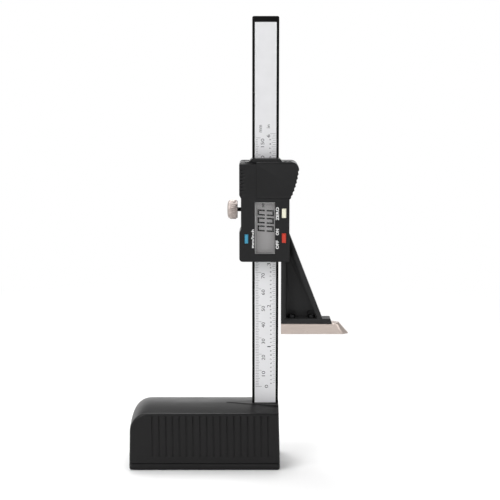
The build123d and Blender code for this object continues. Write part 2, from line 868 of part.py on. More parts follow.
# Angled spring against the side of the can, soldered to the board's face
with BuildPart() as battery_contact_positive:
    contact_z = cell_z - cell_radius
    contact_y = frame_front - contact_thickness
    contact_foot_z = slider_bottom + board_high - contact_width / 2
    extrude(
        band(facing(contact_y), cell_x - contact_width / 2, cell_x + contact_width / 2,
             contact_z - contact_thickness, contact_z),
        amount=contact_reach - 2 * contact_thickness,
    )
    extrude(
        band(facing(contact_y), cell_x - contact_width / 2, cell_x + contact_width / 2, contact_foot_z,
             contact_z),
        amount=contact_thickness,
    )
    extrude(
        band(facing(board_front), cell_x - contact_width / 2, cell_x + contact_width / 2, contact_foot_z,
             contact_foot_z + contact_thickness),
        amount=board_front - contact_y,
    )

# Battery cover: lid with the ridged grip's front, a lip at its left and a guide rail behind
with BuildPart() as battery_cover:
    lid_back = door_floor - door_gap / 2
    extrude(slider_outline(facing(lid_back)), amount=lid_back - upper_face)
    extrude(
        band(facing(lid_back), door_left + door_gap, 2 * body_right, ledge_foot + door_gap, slider_top),
        amount=cell_height,
        mode=Mode.INTERSECT,
    )
    add(upper_slopes.part, mode=Mode.SUBTRACT)
    extrude(
        band(facing(lid_back), door_left - door_lip, door_left + door_gap,
             ledge_foot + ledge_height + door_gap, slider_top - top_chamfer),
        amount=door_lip_depth,
    )
    extrude(
        band(facing(lid_back), door_rail_x - door_rail_width / 2, door_rail_x + door_rail_width / 2,
             ledge_foot + ledge_height + door_gap, slider_top),
        amount=-door_rail_depth,
    )


def key(x, z, width, height):
    """Push key with a flange behind the cover's wall and a stem that reaches towards its switch dome."""
    with BuildPart() as cap:
        with BuildSketch(facing(cover_inside)):
            with Locations((x, slider_bottom + z)):
                RectangleRounded(width, height, button_edge)
        extrude(amount=cover_wall + button_stand)
        chamfer(cap.faces().sort_by(Axis.Y)[0].edges(), button_edge / 2)
        with BuildSketch(facing(cover_inside)):
            with Locations((x, slider_bottom + z)):
                Rectangle(width + 2 * button_flange, height + 2 * button_flange)
        extrude(amount=-button_flange_depth)
        with BuildSketch(facing(cover_inside + button_flange_depth)):
            with Locations((x, slider_bottom + z)):
                Circle(width / 2 - button_clearance)
        stem_end = board_front - dome_height - button_travel - button_clearance
        extrude(amount=cover_inside + button_flange_depth - stem_end)
    return cap


keys = {name: key(*sizes) for name, sizes in buttons.items()}

# Screws that hold the front cover, driven from behind
with BuildPart() as cover_screws:
    screw_seat = frame_back - small_head[1]
    for radius, amount in ((small_head[0], -small_head[1]), (small_head[2], cover_screw_length)):
        with BuildSketch(facing(screw_seat)):
            with Locations(*((x, slider_bottom + z) for x, z in cover_screw_points)):
                Circle(radius)
        extrude(amount=amount)

# Brass insert for the lock screw's thread
with BuildPart() as lock_insert:
    insert_left = waist_left + outline_step + insert_end_gap
    with BuildSketch(across(insert_left)):
        with Locations((0, lock_z)):
            Circle(insert_radius - insert_fit)
            Circle(stud_radius + thread_clearance, mode=Mode.SUBTRACT)
    extrude(amount=channel_left - insert_left)

# Shoe that the lock screw presses on the column's edge
with BuildPart() as lock_shoe:
    extrude(
        band(facing(half_beam), shoe_left, shoe_right, lock_z - shoe_height / 2, lock_z + shoe_height / 2),
        amount=beam_thickness,
    )
    chamfer(lock_shoe.edges().filter_by(Axis.Y), shoe_dimple)
    with BuildSketch(across(shoe_left)):
        with Locations((0, lock_z)):
            Circle(stud_radius + thread_clearance)
    extrude(amount=shoe_dimple, mode=Mode.SUBTRACT)

# Lock screw: domed, knurled knob and stud
with BuildPart() as lock_screw:
    knob_right = waist_left - knob_gap
    knob_left = knob_right - knob_length
    stud_end = shoe_left + shoe_dimple - thread_clearance
    with BuildSketch(facing(0)):
        with BuildLine():
            rim = Line(
                (knob_left + knob_dome, lock_z + knob_radius),
                (knob_right - knob_lip, lock_z + knob_radius),
            )
            Polyline(
                rim @ 1,
                (knob_right - knob_lip, lock_z + knob_lip_radius),
                (knob_right, lock_z + knob_lip_radius),
                (knob_right, lock_z + stud_radius),
                (stud_end, lock_z + stud_radius),
                (stud_end, lock_z),
                (knob_left, lock_z),
            )
            ThreePointArc(
                (knob_left, lock_z),
                (knob_left + knob_dome * knob_dome_middle[0], lock_z + knob_radius * knob_dome_middle[1]),
                rim @ 0,
            )
        make_face()
    revolve(axis=Axis((column_x, 0, lock_z), (1, 0, 0)))
    with BuildSketch(across(knob_left)):
        with Locations((0, lock_z)):
            with PolarLocations(knob_radius, knurl_count):
                RegularPolygon(knurl_size, 4)
    extrude(amount=knob_length - knob_lip, mode=Mode.SUBTRACT)

# Steel measuring blade with a slanted, bevelled end
with BuildPart() as scriber_blade:
    with BuildSketch(facing(arm_half_width)):
        with BuildLine():
            Polyline(
                (arm_left, jaw_height),
                (blade_right, jaw_height),
                (blade_right - blade_slant, flange_underside),
                (arm_left, flange_underside),
                close=True,
            )
        make_face()
    extrude(amount=2 * arm_half_width)
    end_face = scriber_blade.faces().sort_by(Axis.X)[-1]
    for edge in (end_face.edges().sort_by(Axis.Y)[0], end_face.edges().sort_by(Axis.Y)[-1]):
        chamfer(edge, blade_bevel)
    front_face = scriber_blade.faces().filter_by(Axis.Y).sort_by(Axis.Y)[0]
    chamfer(front_face.edges().filter_by(Axis.X).sort_by(Axis.Z)[-1], blade_edge)
    with Locations(level(flange_underside)):
        with Locations(*((x, 0) for x in blade_screw_x)):
            Hole(blade_head[2] + thread_clearance, blade_screw_length - flange_height + screw_clearance)

# Screws that hold the blade under the arm's flange
with BuildPart() as blade_screws:
    for radius, amount in ((blade_head[0], blade_head[1]), (blade_head[2], -blade_screw_length)):
        with BuildSketch(level(flange_underside + flange_height)):
            with Locations(*((x, 0) for x in blade_screw_x)):
                Circle(radius)
        extrude(amount=amount)

pieces = {
    "base_housing": base_housing,
    "base_plate": base_plate,
    "base_plate_screws": base_plate_screws,
    "ballast_weight": ballast_weight,
    "base_magnet_left": base_magnet_left,
    "base_magnet_right": base_magnet_right,
    "column_keeper": column_keeper,
    "keeper_screws": keeper_screws,
    "column_beam": column_beam,
    "grid_strip": grid_strip,
    "scale_label": scale_label,
    "beam_end_stop": beam_end_stop,
    "end_stop_screws": end_stop_screws,
    "slider_frame": slider_frame,
    "front_cover": front_cover,
    "display_window": display_window,
    "lcd_panel": lcd_panel,
    "display_connector": display_connector,
    "circuit_board": circuit_board,
    "key_domes": key_domes,
    "battery_cell": battery_cell,
    "battery_contact_negative": battery_contact_negative,
    "battery_contact_positive": battery_contact_positive,
    "battery_cover": battery_cover,
    "cover_screws": cover_screws,
    "lock_insert": lock_insert,
    "lock_shoe": lock_shoe,
    "lock_screw": lock_screw,
    "scriber_blade": scriber_blade,
    "blade_screws": blade_screws,
    **keys,
}

os.makedirs("parts", exist_ok=True)
for name, piece in pieces.items():
    piece.part.label = name
    export_step(piece.part, f"parts/{name}.step")
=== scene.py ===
"""Looks of a digital height gauge: ribbed base, scaled column, display slider with arm and blade."""
import json
import logging
import math
from dataclasses import dataclass
from enum import Enum

import bmesh
import bpy
import numpy as np
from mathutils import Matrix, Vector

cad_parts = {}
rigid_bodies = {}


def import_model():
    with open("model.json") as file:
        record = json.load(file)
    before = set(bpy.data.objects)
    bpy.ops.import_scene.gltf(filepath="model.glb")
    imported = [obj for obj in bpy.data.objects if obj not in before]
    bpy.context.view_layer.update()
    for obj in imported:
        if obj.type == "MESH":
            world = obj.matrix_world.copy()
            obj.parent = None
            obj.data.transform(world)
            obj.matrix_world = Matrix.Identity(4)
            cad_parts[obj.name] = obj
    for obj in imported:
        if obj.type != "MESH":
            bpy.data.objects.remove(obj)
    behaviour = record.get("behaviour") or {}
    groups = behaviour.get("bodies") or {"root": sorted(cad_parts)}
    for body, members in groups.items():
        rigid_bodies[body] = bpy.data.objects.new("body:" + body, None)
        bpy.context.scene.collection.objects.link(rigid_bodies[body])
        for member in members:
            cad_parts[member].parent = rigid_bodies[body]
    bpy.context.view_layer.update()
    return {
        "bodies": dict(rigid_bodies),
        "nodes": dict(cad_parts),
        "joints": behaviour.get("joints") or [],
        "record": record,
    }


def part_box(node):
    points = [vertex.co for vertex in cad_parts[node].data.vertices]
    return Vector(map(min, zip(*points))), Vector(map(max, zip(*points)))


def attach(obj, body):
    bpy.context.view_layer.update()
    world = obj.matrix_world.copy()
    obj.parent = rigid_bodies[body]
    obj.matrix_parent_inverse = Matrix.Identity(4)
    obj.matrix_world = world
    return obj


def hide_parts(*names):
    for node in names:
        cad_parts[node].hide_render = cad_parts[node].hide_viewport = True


MM = 0.001
INCH = 25.4
LOG = logging.getLogger("height_gauge")

# Distance in metres at which doubled points merge, and angles in degrees up to which faces shade as one
# curve, on mouldings and on turned pieces.
MERGE_DISTANCE = 1e-6
MOULDED_CREASE = 32.0
TURNED_CREASE = 40.0

# Weight of a flat face's own normal at its points, and the steps in a stretch of a letter's curved outline.
FLAT_FACE_WEIGHT = 100
LETTER_STEPS = 3

# Middle part of a noise's range, the samples that round an edge's normal, and the cosine between a rounded
# and a plain normal, at an edge and on an open surface.
NOISE_SPAN = (0.3, 0.7)
EDGE_SAMPLES = 4
EDGE_MATCH = (0.85, 0.995)
WHITE = (1.0, 1.0, 1.0, 1.0)

# About how often a wave texture of scale 1 repeats in one unit.
WAVES_A_UNIT = 3

BOX_SIGNS = np.array([[x, y, z] for x in (-1, 1) for y in (-1, 1) for z in (-1, 1)], float)
BOX_FACES = np.array([[0, 1, 3, 2], [4, 6, 7, 5], [0, 4, 5, 1], [2, 3, 7, 6], [0, 2, 6, 4], [1, 5, 7, 3]])

Colour = tuple[float, float, float]
Span = tuple[float, float]
Socket = bpy.types.NodeSocket


class Body(Enum):
    """Bodies of the frame that carry pieces of this scene."""

    BASE = "base"
    SLIDER = "slider"
    BATTERY_COVER = "battery_cover"
    MODE_KEY = "button_mode"
    ZERO_KEY = "button_zero"
    POWER_KEY = "button_power"
    LOCK_SCREW = "lock_screw"


class Drive(Enum):
    """Recess in a screw's head."""

    CROSS = "cross"
    HEX = "hex"


class Head(Enum):
    """Outline of a screw's head."""

    PAN = "pan"
    COUNTERSUNK = "countersunk"
    CAP = "cap"


class Grain(Enum):
    """Direction of the fine lines on worked metal."""

    ALONG_X = (1.0, 30.0, 30.0)
    ROUND_X = (30.0, 1.0, 1.0)
    EVEN = (1.0, 1.0, 1.0)


class Facing(Enum):
    """Axis of a turned piece with the two directions across it, all as unit vectors."""

    LEFT = ((-1, 0, 0), (0, -1, 0), (0, 0, 1))
    BACK = ((0, 1, 0), (-1, 0, 0), (0, 0, 1))
    UP = ((0, 0, 1), (1, 0, 0), (0, 1, 0))
    DOWN = ((0, 0, -1), (1, 0, 0), (0, -1, 0))


class Graph:
    """Nodes of a material or of the world, under construction."""

    def __init__(self, owner: bpy.types.Material | bpy.types.World) -> None:
        """Starts with no nodes.

        Args:
            owner: The material or world that the nodes belong to.
        """
        self.owner = owner
        owner.use_nodes = True
        self.tree = owner.node_tree
        self.tree.nodes.clear()

    def node(self, kind: str, inputs: dict | None = None, **settings: object) -> bpy.types.Node:
        """Adds a node.

        Args:
            kind: The node's type without its ShaderNode prefix.
            inputs: Values or sockets for its inputs, by input name or index.
            settings: Attributes of the node.

        Returns:
            The new node.
        """
        made = self.tree.nodes.new("ShaderNode" + kind)
        for name, value in settings.items():
            setattr(made, name, value)
        for key, value in (inputs or {}).items():
            if isinstance(value, Socket):
                self.tree.links.new(value, made.inputs[key])
            else:
                made.inputs[key].default_value = value
        return made

    def place(self, stretch: tuple[float, float, float] = (1.0, 1.0, 1.0)) -> Socket:
        """Object coordinates, scaled along each axis by stretch."""
        plain = self.node("TexCoord").outputs["Object"]
        return self.node("Mapping", {"Vector": plain, "Scale": stretch}).outputs["Vector"]

    def turned(self, place: Socket, rotation: tuple[float, float, float]) -> Socket:
        """Coordinates turned about each axis by angles in degrees."""
        angles = tuple(math.radians(angle) for angle in rotation)
        return self.node("Mapping", {"Vector": place, "Rotation": angles}).outputs["Vector"]

    def noise(self, place: Socket, grain_mm: float, detail: float = 2.0) -> Socket:
        """Fractal noise with features of about grain_mm."""
        inputs = {"Vector": place, "Scale": 1 / (grain_mm * MM), "Detail": detail}
        return self.node("TexNoise", inputs).outputs["Fac"]

    def remap(self, value: Socket, span: Span, into: Span) -> Socket:
        """Maps a value's span into another, clamped at both ends."""
        ends = {"From Min": span[0], "From Max": span[1], "To Min": into[0], "To Max": into[1]}
        return self.node("MapRange", {"Value": value, **ends}).outputs["Result"]

    def gloss(self, noise: Socket, low: float, high: float) -> Socket:
        """Roughness that a noise varies between two values."""
        return self.remap(noise, NOISE_SPAN, (low, high))

    def blend(self, factor: Socket, first: float | Socket, second: float | Socket) -> Socket:
        """Blends two numbers by a factor."""
        return self.node("Mix", {0: factor, 2: first, 3: second}).outputs[0]

    def larger(self, first: Socket, second: Socket) -> Socket:
        """The larger of two numbers."""
        return self.node("Math", {0: first, 1: second}, operation="MAXIMUM").outputs[0]

    def mix(self, factor: Socket, first: Colour | Socket, second: Colour | Socket) -> Socket:
        """Blends two colours by a factor that varies over the surface.

        Args:
            factor: Nought for the first colour and one for the second.
            first: The first colour.
            second: The second colour.

        Returns:
            The blended colour.
        """
        made = self.node("Mix", data_type="RGBA")
        colours = [socket for socket in made.inputs if socket.type == "RGBA"]
        self.tree.links.new(factor, made.inputs[0])
        for socket, colour in zip(colours, (first, second)):
            if isinstance(colour, Socket):
                self.tree.links.new(colour, socket)
            else:
                socket.default_value = (*colour, 1.0)
        return next(socket for socket in made.outputs if socket.type == "RGBA")

    def bump(self, height: Socket, depth_mm: float, normal: Socket | None = None) -> Socket:
        """Relief of a height map.

        Args:
            height: The height map, from nought to one.
            depth_mm: Depth from its lowest to its highest point.
            normal: Normal that the relief starts from, or None for the surface's own.

        Returns:
            The normal with the relief.
        """
        inputs = {"Height": height, "Distance": depth_mm * MM, "Strength": 1.0}
        if normal is not None:
            inputs["Normal"] = normal
        return self.node("Bump", inputs).outputs["Normal"]

    def soft_edges(self, radius_mm: float) -> Socket:
        """Normal with its sharp edges rounded to a radius."""
        return self.node("Bevel", {"Radius": radius_mm * MM}, samples=EDGE_SAMPLES).outputs["Normal"]

    def edge_mask(self, rounded: Socket) -> Socket:
        """Finds edges by how far the rounded normal turns from the plain one.

        Args:
            rounded: The rounded normal.

        Returns:
            One along the edges and nought on open surfaces.
        """
        plain = self.node("NewGeometry").outputs["Normal"]
        match = self.node("VectorMath", {0: rounded, 1: plain}, operation="DOT_PRODUCT").outputs["Value"]
        return self.remap(match, EDGE_MATCH, (1.0, 0.0))

    def finish(self, inputs: dict) -> bpy.types.Material:
        """Closes the material with a Principled shader that takes these inputs."""
        self.node("OutputMaterial", {0: self.node("BsdfPrincipled", inputs).outputs[0]})
        return self.owner


@dataclass(frozen=True)
class Flecks:
    """Specks or lines of another tone at the high places of a noise.

    Attributes:
        span: Values of the noise between which they set in.
        share: Share of their tone where they are full.
        tone: Strength of the base colour in them.
    """

    span: Span
    share: float
    tone: float


@dataclass(frozen=True)
class Finish:
    """A surface finish of one piece of the gauge.

    Attributes:
        name: Name of its material.
        colour: Linear base colour.
        slot: Material slot of the record; not used.
    """

    name: str
    colour: Colour
    slot: str

    def shade(self, strength: float) -> Colour:
        """The base colour times a strength."""
        return tuple(min(1.0, channel * strength) for channel in self.colour)

    def tones(self, graph: Graph, noise: Socket, strengths: Span) -> Socket:
        """The base colour, varied by a noise between two strengths."""
        return graph.mix(noise, *(self.shade(strength) for strength in strengths))

    def flecked(self, graph: Graph, body: Socket, noise: Socket, flecks: Flecks) -> Socket:
        """A colour with flecks over it."""
        share = graph.remap(noise, flecks.span, (0.0, flecks.share))
        return graph.mix(share, body, self.shade(flecks.tone))

    def edged(self, graph: Graph, body: Socket, rounded: Socket, gain: float) -> Socket:
        """A colour with a highlight painted along the edges: the base colour times a gain."""
        return graph.mix(graph.edge_mask(rounded), body, self.shade(gain))

    def material(self) -> bpy.types.Material:
        """Builds the material, once for each finish.

        Returns:
            The material.
        """
        label = "look_" + self.name
        found = bpy.data.materials.get(label)
        return found or self.build(Graph(bpy.data.materials.new(label)))

    def build(self, graph: Graph) -> bpy.types.Material:
        """Fills a new graph with this finish's nodes."""
        raise NotImplementedError


@dataclass(frozen=True)
class MouldedPlastic(Finish):
    """Moulded plastic: spark-eroded grain, faint flow clouds and a highlight painted along the edges.

    Attributes:
        roughness: Middle roughness.
        gloss_spread: How far the clouds vary it to both sides.
        specular: Specular level.
        cloud_mm: Size of the clouds.
        cloud_tones: Strengths of the colour in them.
        grain_mm: Size of the grain.
        grain_depth_mm: Depth of the grain.
        specks: Lighter tops of the grain.
        edge_mm: Radius of the softened edges.
        edge_gain: Strength of the highlight painted along them.
    """

    roughness: float = 0.46
    gloss_spread: float = 0.04
    specular: float = 0.22
    cloud_mm: float = 14.0
    cloud_tones: Span = (0.88, 1.12)
    grain_mm: float = 0.45
    grain_depth_mm: float = 0.012
    specks: Flecks = Flecks((0.42, 0.72), 0.5, 1.35)
    edge_mm: float = 0.18
    edge_gain: float = 1.9

    def build(self, graph: Graph) -> bpy.types.Material:
        """Grain is a noise; clouds vary colour and gloss; a highlight is painted on edges where the rounded
        normal turns.

        Args:
            graph: The material's empty graph.

        Returns:
            The finished material.
        """
        place = graph.place()
        clouds = graph.noise(place, self.cloud_mm, detail=3.0)
        grain = graph.noise(place, self.grain_mm, detail=3.0)
        rounded = graph.soft_edges(self.edge_mm)
        body = self.flecked(graph, self.tones(graph, clouds, self.cloud_tones), grain, self.specks)
        spread = self.gloss_spread
        return graph.finish({
            # Painted highlight: the colour is lightened along the edges.
            "Base Color": self.edged(graph, body, rounded, self.edge_gain),
            "Roughness": graph.gloss(clouds, self.roughness - spread, self.roughness + spread),
            "Specular IOR Level": self.specular,
            "Normal": graph.bump(grain, self.grain_depth_mm, rounded),
        })


@dataclass(frozen=True)
class WovenComposite(Finish):
    """Composite bar: a fine twill of two crossing waves under satin resin.

    Attributes:
        thread_mm: Width of a thread.
        thread_depth_mm: Relief of the threads.
        thread_tones: Strengths of the colour between and on the threads.
        thread_turns: Angles of the two waves about the Y axis, in degrees.
        resin_mm: Size of the unevenness in the resin.
        roughness: Lowest and highest roughness of the resin.
        specular: Specular level.
        edge_mm: Radius of the softened edges.
        edge_gain: Strength of the highlight painted along them.
    """

    thread_mm: float = 0.9
    thread_depth_mm: float = 0.01
    thread_tones: Span = (0.85, 1.5)
    thread_turns: Span = (45.0, -45.0)
    resin_mm: float = 2.5
    roughness: Span = (0.31, 0.43)
    specular: float = 0.07
    edge_mm: float = 0.2
    edge_gain: float = 2.2

    def build(self, graph: Graph) -> bpy.types.Material:
        """The twill is the product of two diagonal waves, the resin a low noise over it; a highlight is
        painted on the edges.

        Args:
            graph: The material's empty graph.

        Returns:
            The finished material.
        """
        place = graph.place()
        scale = 1 / (WAVES_A_UNIT * self.thread_mm * MM)
        waves = []
        for turn in self.thread_turns:
            thread = {"Vector": graph.turned(place, (0.0, turn, 0.0)), "Scale": scale}
            waves.append(graph.node("TexWave", thread).outputs["Fac"])
        twill = graph.node("Math", {0: waves[0], 1: waves[1]}, operation="MULTIPLY").outputs["Value"]
        rounded = graph.soft_edges(self.edge_mm)
        body = self.tones(graph, twill, self.thread_tones)
        return graph.finish({
            # Painted highlight: the colour is lightened along the edges.
            "Base Color": self.edged(graph, body, rounded, self.edge_gain),
            "Roughness": graph.gloss(graph.noise(place, self.resin_mm), *self.roughness),
            "Specular IOR Level": self.specular,
            "Normal": graph.bump(twill, self.thread_depth_mm, rounded),
        })


@dataclass(frozen=True)
class PrintedFilm(Finish):
    """Printed plastic film: faint mottle and a satin top coat.

    Attributes:
        mottle_mm: Size of the mottle.
        mottle_tones: Strengths of the colour in it.
        peel_mm: Size of the top coat's peel.
        peel_depth_mm: Depth of the peel.
        roughness: Lowest and highest roughness of the coat.
    """

    mottle_mm: float = 5.0
    mottle_tones: Span = (0.965, 1.03)
    peel_mm: float = 0.8
    peel_depth_mm: float = 0.004
    roughness: Span = (0.36, 0.48)

    def build(self, graph: Graph) -> bpy.types.Material:
        """Mottle is a soft noise of a few millimetres and the coat's peel a finer one.

        Args:
            graph: The material's empty graph.

        Returns:
            The finished material.
        """
        place = graph.place()
        mottle = graph.noise(place, self.mottle_mm, detail=3.0)
        peel = graph.noise(place, self.peel_mm)
        return graph.finish({
            "Base Color": self.tones(graph, mottle, self.mottle_tones),
            "Roughness": graph.gloss(peel, *self.roughness),
            "Normal": graph.bump(peel, self.peel_depth_mm),
        })


@dataclass(frozen=True)
class Ink(Finish):
    """Printing ink with slightly uneven cover.

    Attributes:
        cover_mm: Size of the unevenness.
        cover_tones: Strengths of the colour in it.
        roughness: Lowest and highest roughness.
        specular: Specular level.
    """

    cover_mm: float = 0.3
    cover_tones: Span = (0.9, 1.2)
    roughness: Span = (0.45, 0.6)
    specular: float = 0.15

    def build(self, graph: Graph) -> bpy.types.Material:
        """A fine noise thins the ink here and there.

        Args:
            graph: The material's empty graph.

        Returns:
            The finished material.
        """
        cover = graph.noise(graph.place(), self.cover_mm)
        return graph.finish({
            "Base Color": self.tones(graph, cover, self.cover_tones),
            "Roughness": graph.gloss(cover, *self.roughness),
            "Specular IOR Level": self.specular,
        })


@dataclass(frozen=True)
class WorkedMetal(Finish):
    """Ground, turned or plated metal with fine tool lines.

    Attributes:
        roughness: Middle roughness.
        grain: Direction of the tool lines.
        gloss_spread: How far the lines vary the roughness, down and up.
        line_mm: Distance between tool lines.
        line_depth_mm: Depth of the lines.
        lines: Darker tone along them.
        stain: Share by which stains darken the colour.
        stain_mm: Size of the stains.
        edge_mm: Radius of the softened edges.
        edge_gain: Strength of the highlight painted along them.
    """

    roughness: float = 0.3
    grain: Grain = Grain.EVEN
    gloss_spread: Span = (0.07, 0.1)
    line_mm: float = 0.25
    line_depth_mm: float = 0.003
    lines: Flecks = Flecks((0.4, 0.65), 0.6, 0.86)
    stain: float = 0.08
    stain_mm: float = 9.0
    edge_mm: float = 0.12
    edge_gain: float = 1.25

    def build(self, graph: Graph) -> bpy.types.Material:
        """Tool lines are a noise stretched by the grain; stains are a wide noise in the colour; a highlight
        is painted on the edges.

        Args:
            graph: The material's empty graph.

        Returns:
            The finished material.
        """
        stretch = self.grain.value
        lines = graph.noise(graph.place(stretch), self.line_mm * max(stretch), detail=3.0)
        stains = graph.noise(graph.place(), self.stain_mm)
        rounded = graph.soft_edges(self.edge_mm)
        stained = self.tones(graph, stains, (1 - self.stain, 1 + self.stain / 2))
        body = self.flecked(graph, stained, lines, self.lines)
        smoother, rougher = self.gloss_spread
        return graph.finish({
            # Painted highlight: the colour is lightened along the edges.
            "Base Color": self.edged(graph, body, rounded, self.edge_gain),
            "Metallic": 1.0,
            "Roughness": graph.gloss(lines, self.roughness - smoother, self.roughness + rougher),
            "Normal": graph.bump(lines, self.line_depth_mm, rounded),
        })


@dataclass(frozen=True)
class ClearPane(Finish):
    """Clear plastic pane, mostly see-through with a faint haze.

    Attributes:
        haze: Share of light that the pane stops.
        smear_mm: Size of the smears.
        smear_tones: Strengths of the colour in them.
        roughness: Lowest and highest roughness.
    """

    haze: float = 0.02
    smear_mm: float = 7.0
    smear_tones: Span = (0.97, 1.0)
    roughness: Span = (0.07, 0.1)

    def build(self, graph: Graph) -> bpy.types.Material:
        """A smear noise varies the gloss; the haze is the shader's alpha.

        Args:
            graph: The material's empty graph.

        Returns:
            The finished material.
        """
        smear = graph.noise(graph.place(), self.smear_mm)
        return graph.finish({
            "Base Color": self.tones(graph, smear, self.smear_tones),
            "Roughness": graph.gloss(smear, *self.roughness),
            "Alpha": self.haze,
        })


@dataclass(frozen=True)
class DisplayGlass(Finish):
    """Reflective display: grey with a very fine sparkle.

    Attributes:
        sparkle_mm: Size of the sparkle.
        sparkle: Lighter tone of the sparkle.
        cell_mm: Size of the cell's unevenness.
        cell_tones: Strengths of the colour in it.
        roughness: Lowest and highest roughness.
    """

    sparkle_mm: float = 0.12
    sparkle: Flecks = Flecks((0.4, 0.7), 0.4, 1.25)
    cell_mm: float = 9.0
    cell_tones: Span = (0.94, 1.05)
    roughness: Span = (0.28, 0.4)

    def build(self, graph: Graph) -> bpy.types.Material:
        """The sparkle is a fine noise in colour, the cell's unevenness a wide one.

        Args:
            graph: The material's empty graph.

        Returns:
            The finished material.
        """
        place = graph.place()
        sparkle = graph.noise(place, self.sparkle_mm, detail=1.0)
        cell = graph.noise(place, self.cell_mm)
        body = self.tones(graph, cell, self.cell_tones)
        return graph.finish({
            "Base Color": self.flecked(graph, body, sparkle, self.sparkle),
            "Roughness": graph.gloss(cell, *self.roughness),
        })


@dataclass(frozen=True)
class CircuitLaminate(Finish):
    """Circuit board under solder mask, with tracks in a square pattern.

    Attributes:
        track_mm: Size that the pattern's shares refer to.
        track_share: Width of a track.
        patch_share: Length and width of the patches between tracks.
        track_depth_mm: Relief of the tracks.
        track_tone: Strength of the colour on them.
        weave_mm: Size of the laminate's weave.
        weave_tones: Strengths of the colour in it.
        roughness: Lowest and highest roughness.
    """

    track_mm: float = 4.0
    track_share: float = 0.06
    patch_share: Span = (1.7, 0.6)
    track_depth_mm: float = 0.03
    track_tone: float = 1.8
    weave_mm: float = 0.5
    weave_tones: Span = (0.85, 1.15)
    roughness: Span = (0.3, 0.42)

    def build(self, graph: Graph) -> bpy.types.Material:
        """Tracks are the mortar of a brick pattern laid flat on the board's face.

        Args:
            graph: The material's empty graph.

        Returns:
            The finished material.
        """
        pattern = {
            "Vector": graph.turned(graph.place(), (90, 0, 0)),
            "Scale": 1 / (self.track_mm * MM),
            "Mortar Size": self.track_share,
            "Brick Width": self.patch_share[0],
            "Row Height": self.patch_share[1],
        }
        tracks = graph.node("TexBrick", pattern).outputs["Fac"]
        weave = graph.noise(graph.place(), self.weave_mm)
        body = self.tones(graph, weave, self.weave_tones)
        return graph.finish({
            "Base Color": graph.mix(tracks, body, self.shade(self.track_tone)),
            "Roughness": graph.gloss(weave, *self.roughness),
            "Normal": graph.bump(tracks, self.track_depth_mm),
        })


BASE_PLASTIC = MouldedPlastic(
    "base_moulding", (0.0075, 0.0072, 0.0075), "base_plastic", roughness=0.37, specular=0.18, edge_gain=1.2
)
SLIDER_PLASTIC = MouldedPlastic(
    "slider_moulding", (0.0105, 0.0105, 0.011), "slider_plastic", roughness=0.34, specular=0.18
)
# Painted light: the arm's plastic is the slider's black painted over twice as light, to make up for the shade
# on its web.
ARM_PLASTIC_PAINTED_LIGHTER = MouldedPlastic(
    "arm_moulding", (0.0235, 0.0235, 0.024), "slider_plastic", roughness=0.42, specular=0.1, edge_gain=1.7
)
BEAM_COMPOSITE = WovenComposite("beam_composite", (0.003, 0.0029, 0.0029), "beam_composite")
LABEL_FILM = PrintedFilm("label_film", (0.75, 0.75, 0.765), "label_print")
SCALE_INK = Ink("scale_ink", (0.018, 0.018, 0.02), "rubber_dark")
LEGEND_INK = Ink("legend_ink", (0.86, 0.86, 0.86), "label_print")
SEGMENT_INK = Ink("segment_ink", (0.005, 0.005, 0.006), "rubber_dark", specular=0.05)
CIRCUIT = CircuitLaminate("circuit_laminate", (0.03, 0.16, 0.07), "circuit_green")
PANE = ClearPane("window_pane", (0.85, 0.87, 0.86), "window_clear")
# Painted highlight: the pane's sloped rim is the clear pane made pale and mostly opaque, so that it shows as
# a light line.
PANE_RIM_PAINTED_HIGHLIGHT = ClearPane("window_bevel", (0.9, 0.9, 0.9), "window_clear", haze=0.6)
DISPLAY = DisplayGlass("display_glass", (0.248, 0.24, 0.241), "lcd_grey")
RUBBER = MouldedPlastic("contact_rubber", (0.02, 0.02, 0.02), "rubber_dark", roughness=0.75)
BLUE_KEY = MouldedPlastic("key_blue", (0.058, 0.28, 0.43), "key_blue", roughness=0.38, edge_gain=1.25)
PALE_KEY = MouldedPlastic("key_pale", (0.84, 0.82, 0.65), "key_pale", roughness=0.38, edge_gain=1.05)
RED_KEY = MouldedPlastic("key_red", (0.50, 0.046, 0.028), "key_red", roughness=0.38, edge_gain=1.25)
PLATED_STEEL = WorkedMetal("plated_steel", (0.43, 0.375, 0.35), "steel_plated", 0.36, Grain.ROUND_X)
# The blade's edges carry a strong painted highlight, so that its top edge shows as a light line.
BLADE_STEEL = WorkedMetal(
    "blade_steel", (0.51, 0.44, 0.40), "steel_blade", 0.34, Grain.ALONG_X, edge_mm=0.08, edge_gain=1.5
)
DARK_STEEL = WorkedMetal("dark_steel", (0.02, 0.02, 0.021), "steel_dark", 0.42)
SPRING_METAL = WorkedMetal("spring_metal", (0.60, 0.55, 0.45), "spring_metal")
BRASS = WorkedMetal("turned_brass", (0.70, 0.50, 0.22), "brass_plain", grain=Grain.ROUND_X)
CAST_IRON = WorkedMetal(
    "cast_weight", (0.20, 0.20, 0.21), "cast_weight", roughness=0.55, line_mm=0.8, line_depth_mm=0.08
)
MAGNET_PLATE = WorkedMetal("magnet_plate", (0.55, 0.55, 0.56), "magnet_plated", 0.22)

